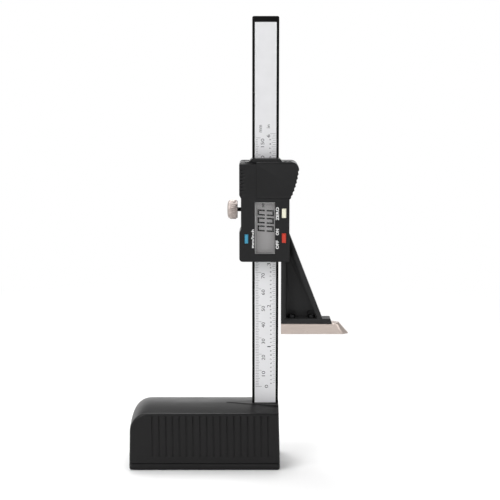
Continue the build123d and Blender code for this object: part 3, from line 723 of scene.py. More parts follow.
NODES_BY_FINISH: dict[Finish, tuple[str, ...]] = {
    BASE_PLASTIC: ("base_housing", "base_plate"),
    SLIDER_PLASTIC: ("beam_end_stop", "front_cover", "battery_cover"),
    ARM_PLASTIC_PAINTED_LIGHTER: ("slider_frame",),
    BEAM_COMPOSITE: ("column_beam",),
    LABEL_FILM: ("scale_label",),
    CIRCUIT: ("grid_strip", "circuit_board"),
    PANE: ("display_window",),
    DISPLAY: ("lcd_panel",),
    RUBBER: ("display_connector",),
    BLUE_KEY: ("button_mode",),
    PALE_KEY: ("button_zero",),
    RED_KEY: ("button_power",),
    PLATED_STEEL: ("column_keeper", "battery_cell", "lock_screw"),
    BLADE_STEEL: ("scriber_blade",),
    DARK_STEEL: ("base_plate_screws", "keeper_screws", "end_stop_screws", "cover_screws", "blade_screws"),
    SPRING_METAL: ("key_domes", "battery_contact_negative", "battery_contact_positive"),
    BRASS: ("lock_insert", "lock_shoe"),
    CAST_IRON: ("ballast_weight",),
    MAGNET_PLATE: ("base_magnet_left", "base_magnet_right"),
}


@dataclass(frozen=True)
class NodeBox:
    """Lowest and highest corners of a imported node, in millimetres."""

    low: np.ndarray
    high: np.ndarray

    @classmethod
    def of(cls, node: str) -> "NodeBox":
        """Reads the box of a node from the frame."""
        low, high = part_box(node)
        return cls(np.array(low) / MM, np.array(high) / MM)

    @property
    def centre(self) -> np.ndarray:
        """Middle of the box."""
        return (self.low + self.high) / 2


@dataclass
class Surface:
    """Points in millimetres, one row each, with the quads between them."""

    points: np.ndarray
    faces: np.ndarray

    def joined(self, other: "Surface") -> "Surface":
        """This surface and another as one."""
        faces = np.vstack([self.faces, other.faces + len(self.points)])
        return Surface(np.vstack([self.points, other.points]), faces)


def skin(points: np.ndarray) -> Surface:
    """Covers a grid of points with quads, its last column joined to its first.

    Args:
        points: Array of rows by columns by three coordinates.

    Returns:
        The closed band of quads, with quad (i, j) between rows i and i + 1 and columns j and j + 1.
    """
    rows, columns = points.shape[:2]
    i, j = np.meshgrid(np.arange(rows - 1), np.arange(columns), indexing="ij")
    start, following = i * columns, (j + 1) % columns
    corners = [start + j, start + following, start + columns + following, start + columns + j]
    return Surface(points.reshape(-1, 3), np.stack(corners, axis=-1).reshape(-1, 4))


def turn_angles(columns: int) -> np.ndarray:
    """Angles of equal steps round one turn, from nought."""
    return np.arange(columns) * (2 * math.pi / columns)


def lathe(along: np.ndarray, radius: np.ndarray, facing: Facing, centre: np.ndarray, columns: int) -> Surface:
    """Turned form: point (i, j) lies along[i] up the axis, radius[i, j] off it, at angle 2 pi j / columns.

    Args:
        along: Distances along the axis, one a row or one a point.
        radius: Distances from the axis, one a row or one a point.
        facing: The axis and the directions across it.
        centre: Point of the axis from which along is measured.
        columns: Points in one turn.

    Returns:
        The turned surface.
    """
    angles = turn_angles(columns)
    along = np.broadcast_to(along.reshape(len(along), -1), (len(along), columns))
    radius = np.broadcast_to(radius.reshape(len(radius), -1), (len(radius), columns))
    axis, first, second = (np.array(direction, float) for direction in facing.value)
    ring = np.cos(angles)[None, :, None] * first + np.sin(angles)[None, :, None] * second
    return skin(centre + along[..., None] * axis + radius[..., None] * ring)


def bars(centres: np.ndarray, sizes: np.ndarray) -> Surface:
    """Boxes whose corners are each centre plus or minus half of each size.

    Args:
        centres: Centres of the boxes, one row each.
        sizes: Sizes of the boxes, one row each.

    Returns:
        All boxes as one surface.
    """
    corners = centres[:, None, :] + 0.5 * BOX_SIGNS[None] * sizes[:, None, :]
    faces = BOX_FACES[None] + len(BOX_SIGNS) * np.arange(len(centres))[:, None, None]
    return Surface(corners.reshape(-1, 3), faces.reshape(-1, 4))


def smoothstep(value: np.ndarray) -> np.ndarray:
    """Rises smoothly from nought to one as the value does: 3 t squared less 2 t cubed."""
    t = np.clip(value, 0.0, 1.0)
    return t * t * (3 - 2 * t)


def signed_power(wave: np.ndarray, power: float) -> np.ndarray:
    """A wave's size to a power, with the wave's own sign."""
    return np.sign(wave) * np.abs(wave) ** power


def coordinates(mesh: bpy.types.Mesh) -> np.ndarray:
    """Reads the points of a mesh.

    Args:
        mesh: The mesh.

    Returns:
        One row of three coordinates for each point, in metres.
    """
    flat = np.empty(len(mesh.vertices) * 3, np.float32)
    mesh.vertices.foreach_get("co", flat)
    return flat.reshape(-1, 3)


def settle(mesh: bpy.types.Mesh, name: str, body: Body, finish: Finish) -> bpy.types.Object:
    """Links a finished mesh as a piece that rides on a body.

    Args:
        mesh: The mesh, in metres and in place.
        name: Name of the piece.
        body: Body that carries it.
        finish: Its surface finish.

    Returns:
        The piece.
    """
    mesh.name = name
    mesh.materials.clear()
    mesh.materials.append(finish.material())
    piece = bpy.data.objects.new(name, mesh)
    bpy.context.scene.collection.objects.link(piece)
    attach(piece, body.value)
    LOG.info("%s: %d faces on %s", name, len(mesh.polygons), body.value)
    return piece


def cleaned(mesh: bpy.types.Mesh, crease: float | None) -> bpy.types.Mesh:
    """Merges doubled points, points the faces outwards and shades curves smooth.

    Args:
        mesh: Mesh to clean.
        crease: Widest angle in degrees between faces that are shaded as one curve, or None for flat faces.

    Returns:
        The same mesh.
    """
    cleaner = bmesh.new()
    cleaner.from_mesh(mesh)
    bmesh.ops.remove_doubles(cleaner, verts=cleaner.verts, dist=MERGE_DISTANCE)
    bmesh.ops.recalc_face_normals(cleaner, faces=cleaner.faces)
    cleaner.to_mesh(mesh)
    cleaner.free()
    if crease is not None:
        mesh.shade_smooth()
        mesh.set_sharp_from_angle(angle=math.radians(crease))
    return mesh


def piece_from(
    surface: Surface, name: str, body: Body, finish: Finish, crease: float | None = None
) -> bpy.types.Object:
    """Makes a piece from a surface that was worked out in millimetres.

    Args:
        surface: Points and quads of the piece.
        name: Name of the piece.
        body: Body that carries it.
        finish: Its surface finish.
        crease: Widest angle in degrees that is shaded as one curve, or None for flat faces.

    Returns:
        The piece.
    """
    mesh = bpy.data.meshes.new(name)
    mesh.from_pydata((surface.points * MM).tolist(), [], surface.faces.tolist())
    return settle(cleaned(mesh, crease), name, body, finish)


def polished(node: str, body: Body, finish: Finish) -> bpy.types.Object:
    """Stands a smooth-shaded copy in for a node whose curves are facetted.

    Args:
        node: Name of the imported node.
        body: Body that carries it.
        finish: Its surface finish.

    Returns:
        The copy, whose flat faces keep their own normals.
    """
    mesh = cleaned(bpy.data.objects[node].data.copy(), MOULDED_CREASE)
    piece = settle(mesh, node + "_surface", body, finish)
    weighting = piece.modifiers.new("flat_faces", "WEIGHTED_NORMAL")
    weighting.keep_sharp = True
    weighting.weight = FLAT_FACE_WEIGHT
    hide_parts(node)
    return piece


def nudge(piece: bpy.types.Object, span: Span, ceiling: float, axis: int, distance: float) -> None:
    """Moves the points of a piece that lie within a span along one axis and below a height.

    Args:
        piece: The piece, a copy of a node.
        span: Lowest and highest place of the moved points along the axis.
        ceiling: Height under which they lie.
        axis: 0 for X or 1 for Y.
        distance: How far they move along the axis.
    """
    rows = coordinates(piece.data)
    chosen = (rows[:, axis] > span[0] * MM) & (rows[:, axis] < span[1] * MM) & (rows[:, 2] < ceiling * MM)
    rows[chosen, axis] += distance * MM
    piece.data.vertices.foreach_set("co", rows.ravel())


def stations(node: str, across: list[int], reach: float) -> np.ndarray:
    """Centres of a node's separate solids, seen along one axis.

    Args:
        node: Name of a node that holds several alike solids.
        across: The two axes of the view, 0 for X, 1 for Y and 2 for Z.
        reach: Distance within which points belong to one solid, in millimetres.

    Returns:
        One row of two coordinates for each solid.
    """
    seen = coordinates(bpy.data.objects[node].data)[:, across] / MM
    centres = []
    while len(seen):
        near = np.hypot(*(seen - seen[0]).T) < reach
        centres.append((seen[near].min(0) + seen[near].max(0)) / 2)
        seen = seen[~near]
    return np.array(centres)


@dataclass(frozen=True)
class Lettering:
    """Printed word that reads upwards along the column, its top to the left.

    Attributes:
        text: The word.
        left: Place of the capitals' tops, from the column's centre line.
        height: Height of the capitals.
        low: Height at which the word begins.
        length: Length of the word.
        weight: Added thickness of the strokes, as a share of the height.
    """

    text: str
    left: float
    height: float
    low: float
    length: float
    weight: float = 0.0

    def outline(
        self, column_x: float, front_y: float, thickness: float
    ) -> tuple[np.ndarray, list[tuple[int, ...]]]:
        """Sets the word at any size and scales it to its height, length and thickness on the printed face.

        Args:
            column_x: The column's centre line.
            front_y: Depth of the printed face, towards the viewer negative.
            thickness: Thickness of the ink.

        Returns:
            Points in millimetres and the faces between them.
        """
        curve = bpy.data.curves.new("words", "FONT")
        curve.body = self.text
        curve.size = 1.0
        curve.offset = self.weight
        curve.extrude = 0.5
        curve.resolution_u = LETTER_STEPS
        carrier = bpy.data.objects.new("words", curve)
        bpy.context.scene.collection.objects.link(carrier)
        bpy.context.view_layer.update()
        evaluated = carrier.evaluated_get(bpy.context.evaluated_depsgraph_get())
        mesh = bpy.data.meshes.new_from_object(evaluated)
        flat = coordinates(mesh).astype(float)
        faces = [tuple(face.vertices) for face in mesh.polygons]
        bpy.data.objects.remove(carrier)
        low = flat.min(0)
        size = flat.max(0) - low
        x = column_x + self.left + (low[1] + size[1] - flat[:, 1]) * (self.height / size[1])
        y = front_y - (flat[:, 2] - low[2]) / size[2] * thickness
        z = self.low + (flat[:, 0] - low[0]) * (self.length / size[0])
        return np.column_stack([x, y, z]), faces


@dataclass(frozen=True)
class Printing:
    """Words printed on one face, as one piece.

    Attributes:
        name: Name of the piece.
        words: The words.
        body: Body that carries it.
        ink: Its ink.
        front: Depth of the printed face in millimetres, towards the viewer negative.
        thickness: Thickness of the ink.
    """

    name: str
    words: tuple[Lettering, ...]
    body: Body
    ink: Ink
    front: float
    thickness: float

    def build(self) -> bpy.types.Object:
        """Sets the words about the column's centre line and joins them.

        Returns:
            The piece.
        """
        column_x = NodeBox.of("column_beam").centre[0]
        points, faces, count = [], [], 0
        for word in self.words:
            placed, outline = word.outline(column_x, self.front, self.thickness)
            points.append(placed)
            faces += [tuple(index + count for index in face) for face in outline]
            count += len(placed)
        mesh = bpy.data.meshes.new(self.name)
        mesh.from_pydata((np.vstack(points) * MM).tolist(), [], faces)
        return settle(cleaned(mesh, None), self.name, self.body, self.ink)


@dataclass(frozen=True)
class Screw:
    """Turned screw with a recess sunk in its head.

    Heights are measured from the seat, outwards positive.

    Attributes:
        head_radius: Radius of the head.
        head_height: Height of the head over the seat.
        shank_radius: Radius of the shank.
        length: Length of the shank below the seat.
        head: Outline of the head.
        drive: Recess in the head.
        columns: Points in one turn.
        rings: Rings of points on the head's face.
        corner_rings: Rings of points on its rounded corner, with the face's own rim.
        corner: Radius of that corner, as a share of the head's.
        crown: Rise of a pan head's middle, as a share of the head's height.
        slope: Width of the recess's sloped wall, as a share of the head's radius.
        hex_reach: Half of a hexagonal recess's width, as a share of the head's radius.
        arm_reach: Length of a cross recess's arm, as a share of the head's radius.
        arm_width: Half of that arm's width, as a share of the head's radius.
        depth_limits: Greatest depth of the recess, as shares of the head's height and of its radius.
    """

    head_radius: float
    head_height: float
    shank_radius: float
    length: float
    head: Head = Head.PAN
    drive: Drive = Drive.CROSS
    columns: int = 72
    rings: int = 22
    corner_rings: int = 5
    corner: float = 0.12
    crown: float = 0.35
    slope: float = 0.09
    hex_reach: float = 0.5
    arm_reach: float = 0.62
    arm_width: float = 0.14
    depth_limits: Span = (0.55, 0.5)

    def recess(self, x: np.ndarray, y: np.ndarray) -> np.ndarray:
        """Depth of the recess: a smoothstep of the distance inside a hexagon or inside two crossed arms.

        The long walls of an arm slope half inside and half outside of its width.

        Args:
            x: Places across the head.
            y: Places in the other direction across it.

        Returns:
            The depth, from nought to one.
        """
        edge = self.slope * self.head_radius
        if self.drive is Drive.HEX:
            turns = [(math.cos(a), math.sin(a)) for a in np.arange(3) * math.pi / 3]
            apart = np.max([np.abs(x * c + y * s) for c, s in turns], axis=0)
            return smoothstep((self.hex_reach * self.head_radius - apart) / edge)
        arms = []
        for across, along in ((x, y), (y, x)):
            reach = smoothstep((self.arm_reach * self.head_radius - np.abs(along)) / edge)
            arms.append(reach * smoothstep((self.arm_width * self.head_radius - np.abs(across)) / edge + 0.5))
        return np.maximum(*arms)

    def side(self, rim_top: float, corner: float) -> np.ndarray:
        """Outline from the head's rim to the shank's end: a quarter circle, or a cone of 45 degrees below.

        Args:
            rim_top: Height of the head's rim.
            corner: Radius of the rim's corner.

        Returns:
            One row for each ring of points, its height and radius.
        """
        if self.head is Head.COUNTERSUNK:
            under = [(rim_top - self.head_radius + self.shank_radius, self.shank_radius)]
        else:
            turn = np.linspace(0.0, math.pi / 2, self.corner_rings)[1:]
            heights = rim_top - min(corner, rim_top) * (1 - np.cos(turn))
            rounded = np.column_stack([heights, self.head_radius - corner + corner * np.sin(turn)])
            under = [*rounded, (0.0, self.head_radius), (0.0, self.shank_radius)]
        return np.array([*under, (-self.length, self.shank_radius), (-self.length, 0.0)])

    def surface(self, facing: Facing, seat: np.ndarray) -> Surface:
        """The screw's surface: head face with its recess, rim, underside and shank.

        Args:
            facing: Direction in which the head looks.
            seat: Centre of the face under the head.

        Returns:
            The closed turned surface.
        """
        angles = turn_angles(self.columns)
        share = np.linspace(0.0, 1.0, self.rings)[:, None]
        corner = 0.0 if self.head is Head.COUNTERSUNK else self.corner * self.head_radius
        rise = self.crown * self.head_height if self.head is Head.PAN else 0.0
        face_radius = share * (self.head_radius - corner)
        depth = min(self.depth_limits[0] * self.head_height, self.depth_limits[1] * self.head_radius)
        sunk = depth * self.recess(face_radius * np.cos(angles), face_radius * np.sin(angles))
        face = self.head_height - rise * share ** 2 - sunk
        side = self.side(self.head_height - rise, corner)
        along = np.vstack([face, np.repeat(side[:, :1], self.columns, axis=1)])
        radius = np.vstack([face_radius + 0 * angles, np.repeat(side[:, 1:], self.columns, axis=1)])
        return lathe(along, radius, facing, seat, self.columns)


@dataclass(frozen=True)
class ScrewSet:
    """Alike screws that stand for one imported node.

    Attributes:
        node: Name of the node, which ends at the screws' heads.
        body: Body that carries them.
        screw: One of the screws.
        facing: Direction in which the heads look.
        reach: How far apart, in radii of the head, the points of one screw lie at most.
    """

    node: str
    body: Body
    screw: Screw
    facing: Facing
    reach: float = 2.4

    def build(self) -> bpy.types.Object:
        """Makes the screws where the frame has them, seated by a head's height below the node's end.

        Returns:
            The piece.
        """
        direction = np.array(self.facing.value[0])
        axis = int(np.flatnonzero(direction)[0])
        across = [place for place in range(3) if place != axis]
        box = NodeBox.of(self.node)
        end = box.high[axis] if direction[axis] > 0 else box.low[axis]
        whole = None
        for centre in stations(self.node, across, self.reach * self.screw.head_radius):
            seat = np.zeros(3)
            seat[across] = centre
            seat[axis] = end - direction[axis] * self.screw.head_height
            one = self.screw.surface(self.facing, seat)
            whole = one if whole is None else whole.joined(one)
        piece = piece_from(whole, self.node + "_turned", self.body, DARK_STEEL, TURNED_CREASE)
        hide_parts(self.node)
        return piece


@dataclass
class Base:
    """Ribbed, domed base with its plate, magnets, weight and screws.

    Attributes:
        plate_screw: Screw that holds the plate from below, with a flush head and no recess.
    """

    plate_screw: Screw = Screw(2.6, 0.0, 1.3, 15.2, Head.COUNTERSUNK)

    def build(self) -> None:
        """Smooths the moulded pieces and turns the screws below."""
        for node in ("base_housing", "base_plate"):
            polished(node, Body.BASE, BASE_PLASTIC)
        ScrewSet("base_plate_screws", Body.BASE, self.plate_screw, Facing.DOWN).build()


@dataclass
class Column:
    """Column with its printed scales.

    Heights are from the surface that the base stands on, and places from the column's centre line.

    Attributes:
        zero_height: Height of both scales' noughts.
        mm_count: Length of the left row in millimetres.
        inch_count: Length of the right row in inches.
        ink_thickness: Thickness of the ink.
        line_width: Width of a graduation line.
        print_lean: How far the print drifts to the left for each millimetre of height.
        mm_start: Place where the left row's lines start.
        mm_reach: Places where they end, at single millimetres, fives and tens.
        inch_end: Place where the right row's lines end.
        inch_reach: Places where they start, at twentieths, tenths and whole inches.
        figure_height: Height of the numerals.
        tenth_height: Height of the small numerals at the tenths of an inch.
        figure_gap: Distance from a line down to its numeral.
        digit_step: Length of one digit with its space.
        digit_space: Space that the last digit leaves out.
        narrow: Length of a one at the inches, as a share of its height.
        wide: Length of any other digit there, as a share of its height.
        mm_figures: Place of the left row's numerals.
        inch_figures: Place of the whole inches' numerals.
        tenth_figures: Place of the tenths' numerals.
        zero_figure: Place of the common nought.
        zero_drop: How far below its line the common nought begins.
        zero_length: Length of the common nought.
        units: Names of the two units.
        stop_screw: Screw of the end stop.
    """

    zero_height: float = 47.1
    mm_count: int = 150
    inch_count: int = 6
    ink_thickness: float = 0.012
    line_width: float = 0.15
    print_lean: float = 0.0055
    mm_start: float = -5.75
    mm_reach: tuple[float, float, float] = (-3.75, -3.1, -2.05)
    inch_end: float = 5.95
    inch_reach: tuple[float, float, float] = (5.15, 4.5, 3.65)
    figure_height: float = 2.0
    tenth_height: float = 1.0
    figure_gap: float = 0.45
    digit_step: float = 1.75
    digit_space: float = 0.3
    narrow: float = 0.3
    wide: float = 0.85
    mm_figures: float = -1.95
    inch_figures: float = 1.45
    tenth_figures: float = 3.05
    zero_figure: float = -0.2
    zero_drop: float = 0.9
    zero_length: float = 1.9
    units: tuple[Lettering, ...] = (
        Lettering("mm", -3.55, 1.45, 200.4, 4.2),
        Lettering("in", 0.75, 1.75, 202.8, 2.0),
    )
    stop_screw: Screw = Screw(1.4, 0.8, 0.8, 3.0)

    def drift(self, height: np.ndarray | float) -> np.ndarray | float:
        """How far the print stands to the left at a height, because it was laid with a slight lean."""
        return -self.print_lean * (height - self.zero_height)

    def row(
        self, steps: np.ndarray, pitch: float, reach: tuple[float, ...], end: float, ranks: tuple[int, int]
    ) -> Surface:
        """One row of graduation lines: thin bars from the row's edge to a reach that grows with their rank.

        Args:
            steps: Numbers of the lines, counted from the nought.
            pitch: Distance between neighbouring lines.
            reach: Places of the lines' inner ends, from the lowest rank to the highest.
            end: Place of their outer ends.
            ranks: Steps from one line of the middle rank to the next, and the same for the highest rank.

        Returns:
            One bar for each line.
        """
        heights = self.zero_height + steps * pitch
        rank = sum((steps % every == 0).astype(int) for every in ranks)
        inner = np.array(reach)[rank] + self.drift(heights)
        outer = np.full_like(inner, end)
        y = NodeBox.of("scale_label").low[1] - self.ink_thickness / 2
        middle = NodeBox.of("column_beam").centre[0] + (inner + outer) / 2
        centres = np.column_stack([middle, np.full_like(middle, y), heights])
        depths, widths = np.full_like(middle, self.ink_thickness), np.full_like(middle, self.line_width)
        return bars(centres, np.column_stack([np.abs(inner - outer), depths, widths]))

    def ticks(self) -> Surface:
        """Both rows of graduation lines: every millimetre, and every twentieth of an inch from a tenth up.

        Returns:
            The lines of both rows.
        """
        left = self.row(np.arange(self.mm_count + 1), 1.0, self.mm_reach, self.mm_start, (5, 10))
        twentieths = np.arange(2, 20 * self.inch_count + 1)
        return left.joined(self.row(twentieths, INCH / 20, self.inch_reach, self.inch_end, (2, 20)))

    def figures(self) -> tuple[Lettering, ...]:
        """Numerals of both rows, each just below its line, and the names of the units.

        Returns:
            The words.
        """
        foot = self.zero_height - self.zero_drop
        words = [Lettering("0", self.zero_figure, self.figure_height, foot, self.zero_length)]
        for tens in range(10, self.mm_count + 1, 10):
            height = self.zero_height + tens
            length = self.digit_step * len(str(tens)) - self.digit_space
            left = self.mm_figures + self.drift(height)
            low = height - self.figure_gap - length
            words.append(Lettering(str(tens), left, self.figure_height, low, length))
        for tenths in range(1, 10 * self.inch_count + 1):
            height = self.zero_height + tenths * INCH / 10
            whole = tenths % 10 == 0
            text = str(tenths // 10 if whole else tenths % 10)
            size = self.figure_height if whole else self.tenth_height
            left = (self.inch_figures if whole else self.tenth_figures) + self.drift(height)
            length = (self.narrow if text == "1" else self.wide) * size
            words.append(Lettering(text, left, size, height - self.figure_gap - length, length))
        return (*words, *self.units)

    def build(self) -> None:
        """Smooths the bar, prints the scales and turns the end stop's screws."""
        polished("column_beam", Body.BASE, BEAM_COMPOSITE)
        polished("beam_end_stop", Body.BASE, SLIDER_PLASTIC)
        piece_from(self.ticks(), "scale_lines", Body.BASE, SCALE_INK)
        front = NodeBox.of("scale_label").low[1]
        Printing("scale_figures", self.figures(), Body.BASE, SCALE_INK, front, self.ink_thickness).build()
        ScrewSet("end_stop_screws", Body.BASE, self.stop_screw, Facing.BACK).build()


@dataclass
class Readout:
    """Figures on the display, turned to read upwards, with the pane's sloped rim and printed edge.

    Attributes:
        digit_middles: Heights of the noughts' middles.
        digit_length: Length of a nought along the column.
        digit_height: Height of a nought, which lies across the column.
        digit_shift: How far the noughts stand to the right of the display's middle.
        stroke: Width of a stroke.
        middle_gap: Gap in the middle of the long sides, where the middle bar is out.
        corner_gap: Gap between the strokes at the corners.
        slant: Lean of the noughts.
        depth: Thickness of the strokes.
        unit: The small unit name beyond the noughts.
        pane_flange: Width of the pane's rim behind the cover.
        border_width: Width of the strip printed along the pane's right edge.
        border_thickness: Thickness of that strip.
        bevel_width: Width of the sloped rim.
        bevel_depth: How far the sloped rim's outer edge lies behind the pane's face.
    """

    digit_middles: tuple[float, float, float] = (144.35, 149.1, 153.75)
    digit_length: float = 3.55
    digit_height: float = 9.6
    digit_shift: float = 0.25
    stroke: float = 0.9
    middle_gap: float = 1.1
    corner_gap: float = 0.08
    slant: float = 0.07
    depth: float = 0.02
    unit: Lettering = Lettering("mm", -2.0, 1.35, 157.1, 2.5, 0.02)
    pane_flange: float = 0.9
    border_width: float = 0.5
    border_thickness: float = 0.06
    bevel_width: float = 0.45
    bevel_depth: float = 0.25

    def segments(self) -> Surface:
        """Six strokes of each nought: bars moved down the column by the slant times their place across.

        Returns:
            The strokes, without the middle one.
        """
        box = NodeBox.of("lcd_panel")
        half_height, half_length, stroke = self.digit_height / 2, self.digit_length / 2, self.stroke
        arm = half_height - stroke - self.middle_gap / 2 - self.corner_gap
        arm_middle = self.middle_gap / 2 + arm / 2
        offsets, sizes = [], []
        for side in (-1, 1):
            offsets.append((side * (half_height - stroke / 2), 0.0, 0.0))
            sizes.append((stroke, self.depth, self.digit_length))
            for edge in (-1, 1):
                offsets.append((side * arm_middle, 0.0, edge * (half_length - stroke / 2)))
                sizes.append((arm, self.depth, stroke))
        x = box.centre[0] + self.digit_shift
        middles = np.array([(x, box.low[1] - self.depth / 2, middle) for middle in self.digit_middles])
        centres = (middles[:, None, :] + np.array(offsets)[None]).reshape(-1, 3)
        whole = bars(centres, np.tile(sizes, (len(middles), 1)))
        whole.points[:, 2] -= self.slant * (whole.points[:, 0] - x)
        return whole

    def opening(self) -> NodeBox:
        """The part of the pane that the cover leaves bare."""
        pane, rim = NodeBox.of("display_window"), np.array([self.pane_flange, 0.0, self.pane_flange])
        return NodeBox(pane.low + rim, pane.high - rim)

    def bevel(self) -> Surface:
        """Sloped rim of the pane: an outer rectangle joined to one further in and further forward.

        Returns:
            The rim.
        """
        opening = self.opening()
        rows = []
        for inset, depth in ((0.0, self.bevel_depth), (self.bevel_width, -self.depth)):
            (x0, _, z0), (x1, _, z1) = opening.low + inset, opening.high - inset
            y = opening.low[1] + depth
            rows.append([(x0, y, z0), (x1, y, z0), (x1, y, z1), (x0, y, z1)])
        return skin(np.array(rows))

    def border(self) -> Surface:
        """Black strip printed along the pane's right edge: one thin bar.

        Returns:
            The bar.
        """
        opening = self.opening()
        x, y = opening.high[0] - self.border_width / 2, opening.low[1] - self.border_thickness / 2
        size = (self.border_width, self.border_thickness, opening.high[2] - opening.low[2])
        return bars(np.array([[x, y, opening.centre[2]]]), np.array([size]))

    def build(self) -> None:
        """Makes the pane's rim and printed edge, the noughts and the small unit name beyond them."""
        # The rim's pale, hazy finish is a painted highlight.
        piece_from(self.bevel(), "window_rim", Body.SLIDER, PANE_RIM_PAINTED_HIGHLIGHT)
        piece_from(self.border(), "window_border", Body.SLIDER, SLIDER_PLASTIC)
        piece_from(self.segments(), "display_figures", Body.SLIDER, SEGMENT_INK)
        front = NodeBox.of("lcd_panel").low[1]
        Printing("display_unit", (self.unit,), Body.SLIDER, SEGMENT_INK, front, self.depth).build()


@dataclass(frozen=True)
class KeyCrown:
    """Low pillow on the front of a key.

    Attributes:
        flange: Width of the rim that holds the key behind the cover.
        margin: How far it keeps in from the key's outline.
        rise: How far its middle stands out of the key.
        sink: How far its rim lies inside the key.
        squareness: Power of its outline; 2 is an ellipse, and large powers come near a rectangle.
        columns: Points round its outline.
        rings: Rings of points on its face.
    """

    flange: float = 0.4
    margin: float = 0.12
    rise: float = 0.3
    sink: float = 0.05
    squareness: float = 9.0
    columns: int = 96
    rings: int = 14

    def surface(self, key: NodeBox) -> Surface:
        """Scaled copies of a superellipse; their depth is the root of one less the scale to the fourth.

        Args:
            key: Box of the key that carries it.

        Returns:
            The closed pillow.
        """
        turn = turn_angles(self.columns) + math.pi / self.columns
        half = (key.high - key.low) / 2 - self.flange - self.margin
        across = half[0] * signed_power(np.cos(turn), 2 / self.squareness)
        along = half[2] * signed_power(np.sin(turn), 2 / self.squareness)
        scale = np.sin(np.linspace(math.pi / 2, 0.0, self.rings))
        depth = key.low[1] - self.rise * np.sqrt(1 - scale ** 4)
        scale = np.concatenate([[0.0, 1.0], scale])[:, None]
        depth = np.concatenate([[key.low[1] + self.sink] * 2, depth])[:, None]
        x, z = key.centre[0] + scale * across, key.centre[2] + scale * along
        return skin(np.stack([x, depth + 0 * x, z], axis=-1))


@dataclass
class Slider:
    """Slider with its cover, keys, legends, arm, blade and screws.

    Attributes:
        crown: Pillow on each key.
        blade_edge: Depth on both sides of the blade's front within which its points move.
        blade_stand: How far the blade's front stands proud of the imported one.
        flange_slant: Width on both sides of the arm's end within which the flange's points move.
        flange_stretch: How far they move outwards.
        pane_step: How far the pane's front lies behind the cover's.
        legend_thickness: Thickness of the legends' ink.
        legends: Names of the keys.
        cover_screw: Screw that holds the cover from behind.
        blade_screw: Screw that holds the blade.
    """

    crown: KeyCrown = KeyCrown()
    blade_edge: float = 0.5
    blade_stand: float = 0.4
    flange_slant: float = 1.3
    flange_stretch: float = 0.8
    pane_step: float = 0.3
    legend_thickness: float = 0.02
    legends: tuple[Lettering, ...] = (
        Lettering("ZERO", 6.0, 1.8, 149.6, 7.7, 0.02),
        Lettering("ON", 6.0, 1.8, 140.8, 3.7, 0.02),
        Lettering("OFF", 6.0, 1.8, 132.6, 5.1, 0.02),
        Lettering("mm/inch", -8.35, 1.6, 133.2, 11.0, 0.02),
    )
    cover_screw: Screw = Screw(1.9, 1.2, 1.0, 10.5)
    blade_screw: Screw = Screw(2.1, 1.8, 1.25, 5.5, Head.CAP, Drive.HEX)

    def arm(self) -> None:
        """Smooths the blade and the frame with its arm.

        The blade's front moves forward, proud of the arm, so that its top edge catches the light, and the
        flange's slanted end moves outwards.
        """
        blade, frame = NodeBox.of("scriber_blade"), NodeBox.of("slider_frame")
        front = (blade.low[1] - self.blade_edge, blade.low[1] + self.blade_edge + self.blade_stand)
        steel = polished("scriber_blade", Body.SLIDER, BLADE_STEEL)
        nudge(steel, front, math.inf, 1, -self.blade_stand)
        end = (frame.high[0] - self.flange_slant, frame.high[0] + self.flange_slant)
        moulding = polished("slider_frame", Body.SLIDER, ARM_PLASTIC_PAINTED_LIGHTER)
        nudge(moulding, end, frame.centre[2], 0, self.flange_stretch)

    def keys(self) -> None:
        """Smooths the keys and puts a crown on each."""
        for body, finish in ((Body.MODE_KEY, BLUE_KEY), (Body.ZERO_KEY, PALE_KEY), (Body.POWER_KEY, RED_KEY)):
            polished(body.value, body, finish)
            crown = self.crown.surface(NodeBox.of(body.value))
            piece_from(crown, body.value + "_crown", body, finish, TURNED_CREASE)

    def build(self) -> None:
        """Smooths the mouldings, prints the legends and turns the screws."""
        self.arm()
        polished("front_cover", Body.SLIDER, SLIDER_PLASTIC)
        polished("battery_cover", Body.BATTERY_COVER, SLIDER_PLASTIC)
        self.keys()
        front = NodeBox.of("display_window").low[1] - self.pane_step
        Printing("key_legends", self.legends, Body.SLIDER, LEGEND_INK, front, self.legend_thickness).build()
        ScrewSet("cover_screws", Body.SLIDER, self.cover_screw, Facing.BACK).build()
        ScrewSet("blade_screws", Body.SLIDER, self.blade_screw, Facing.UP).build()


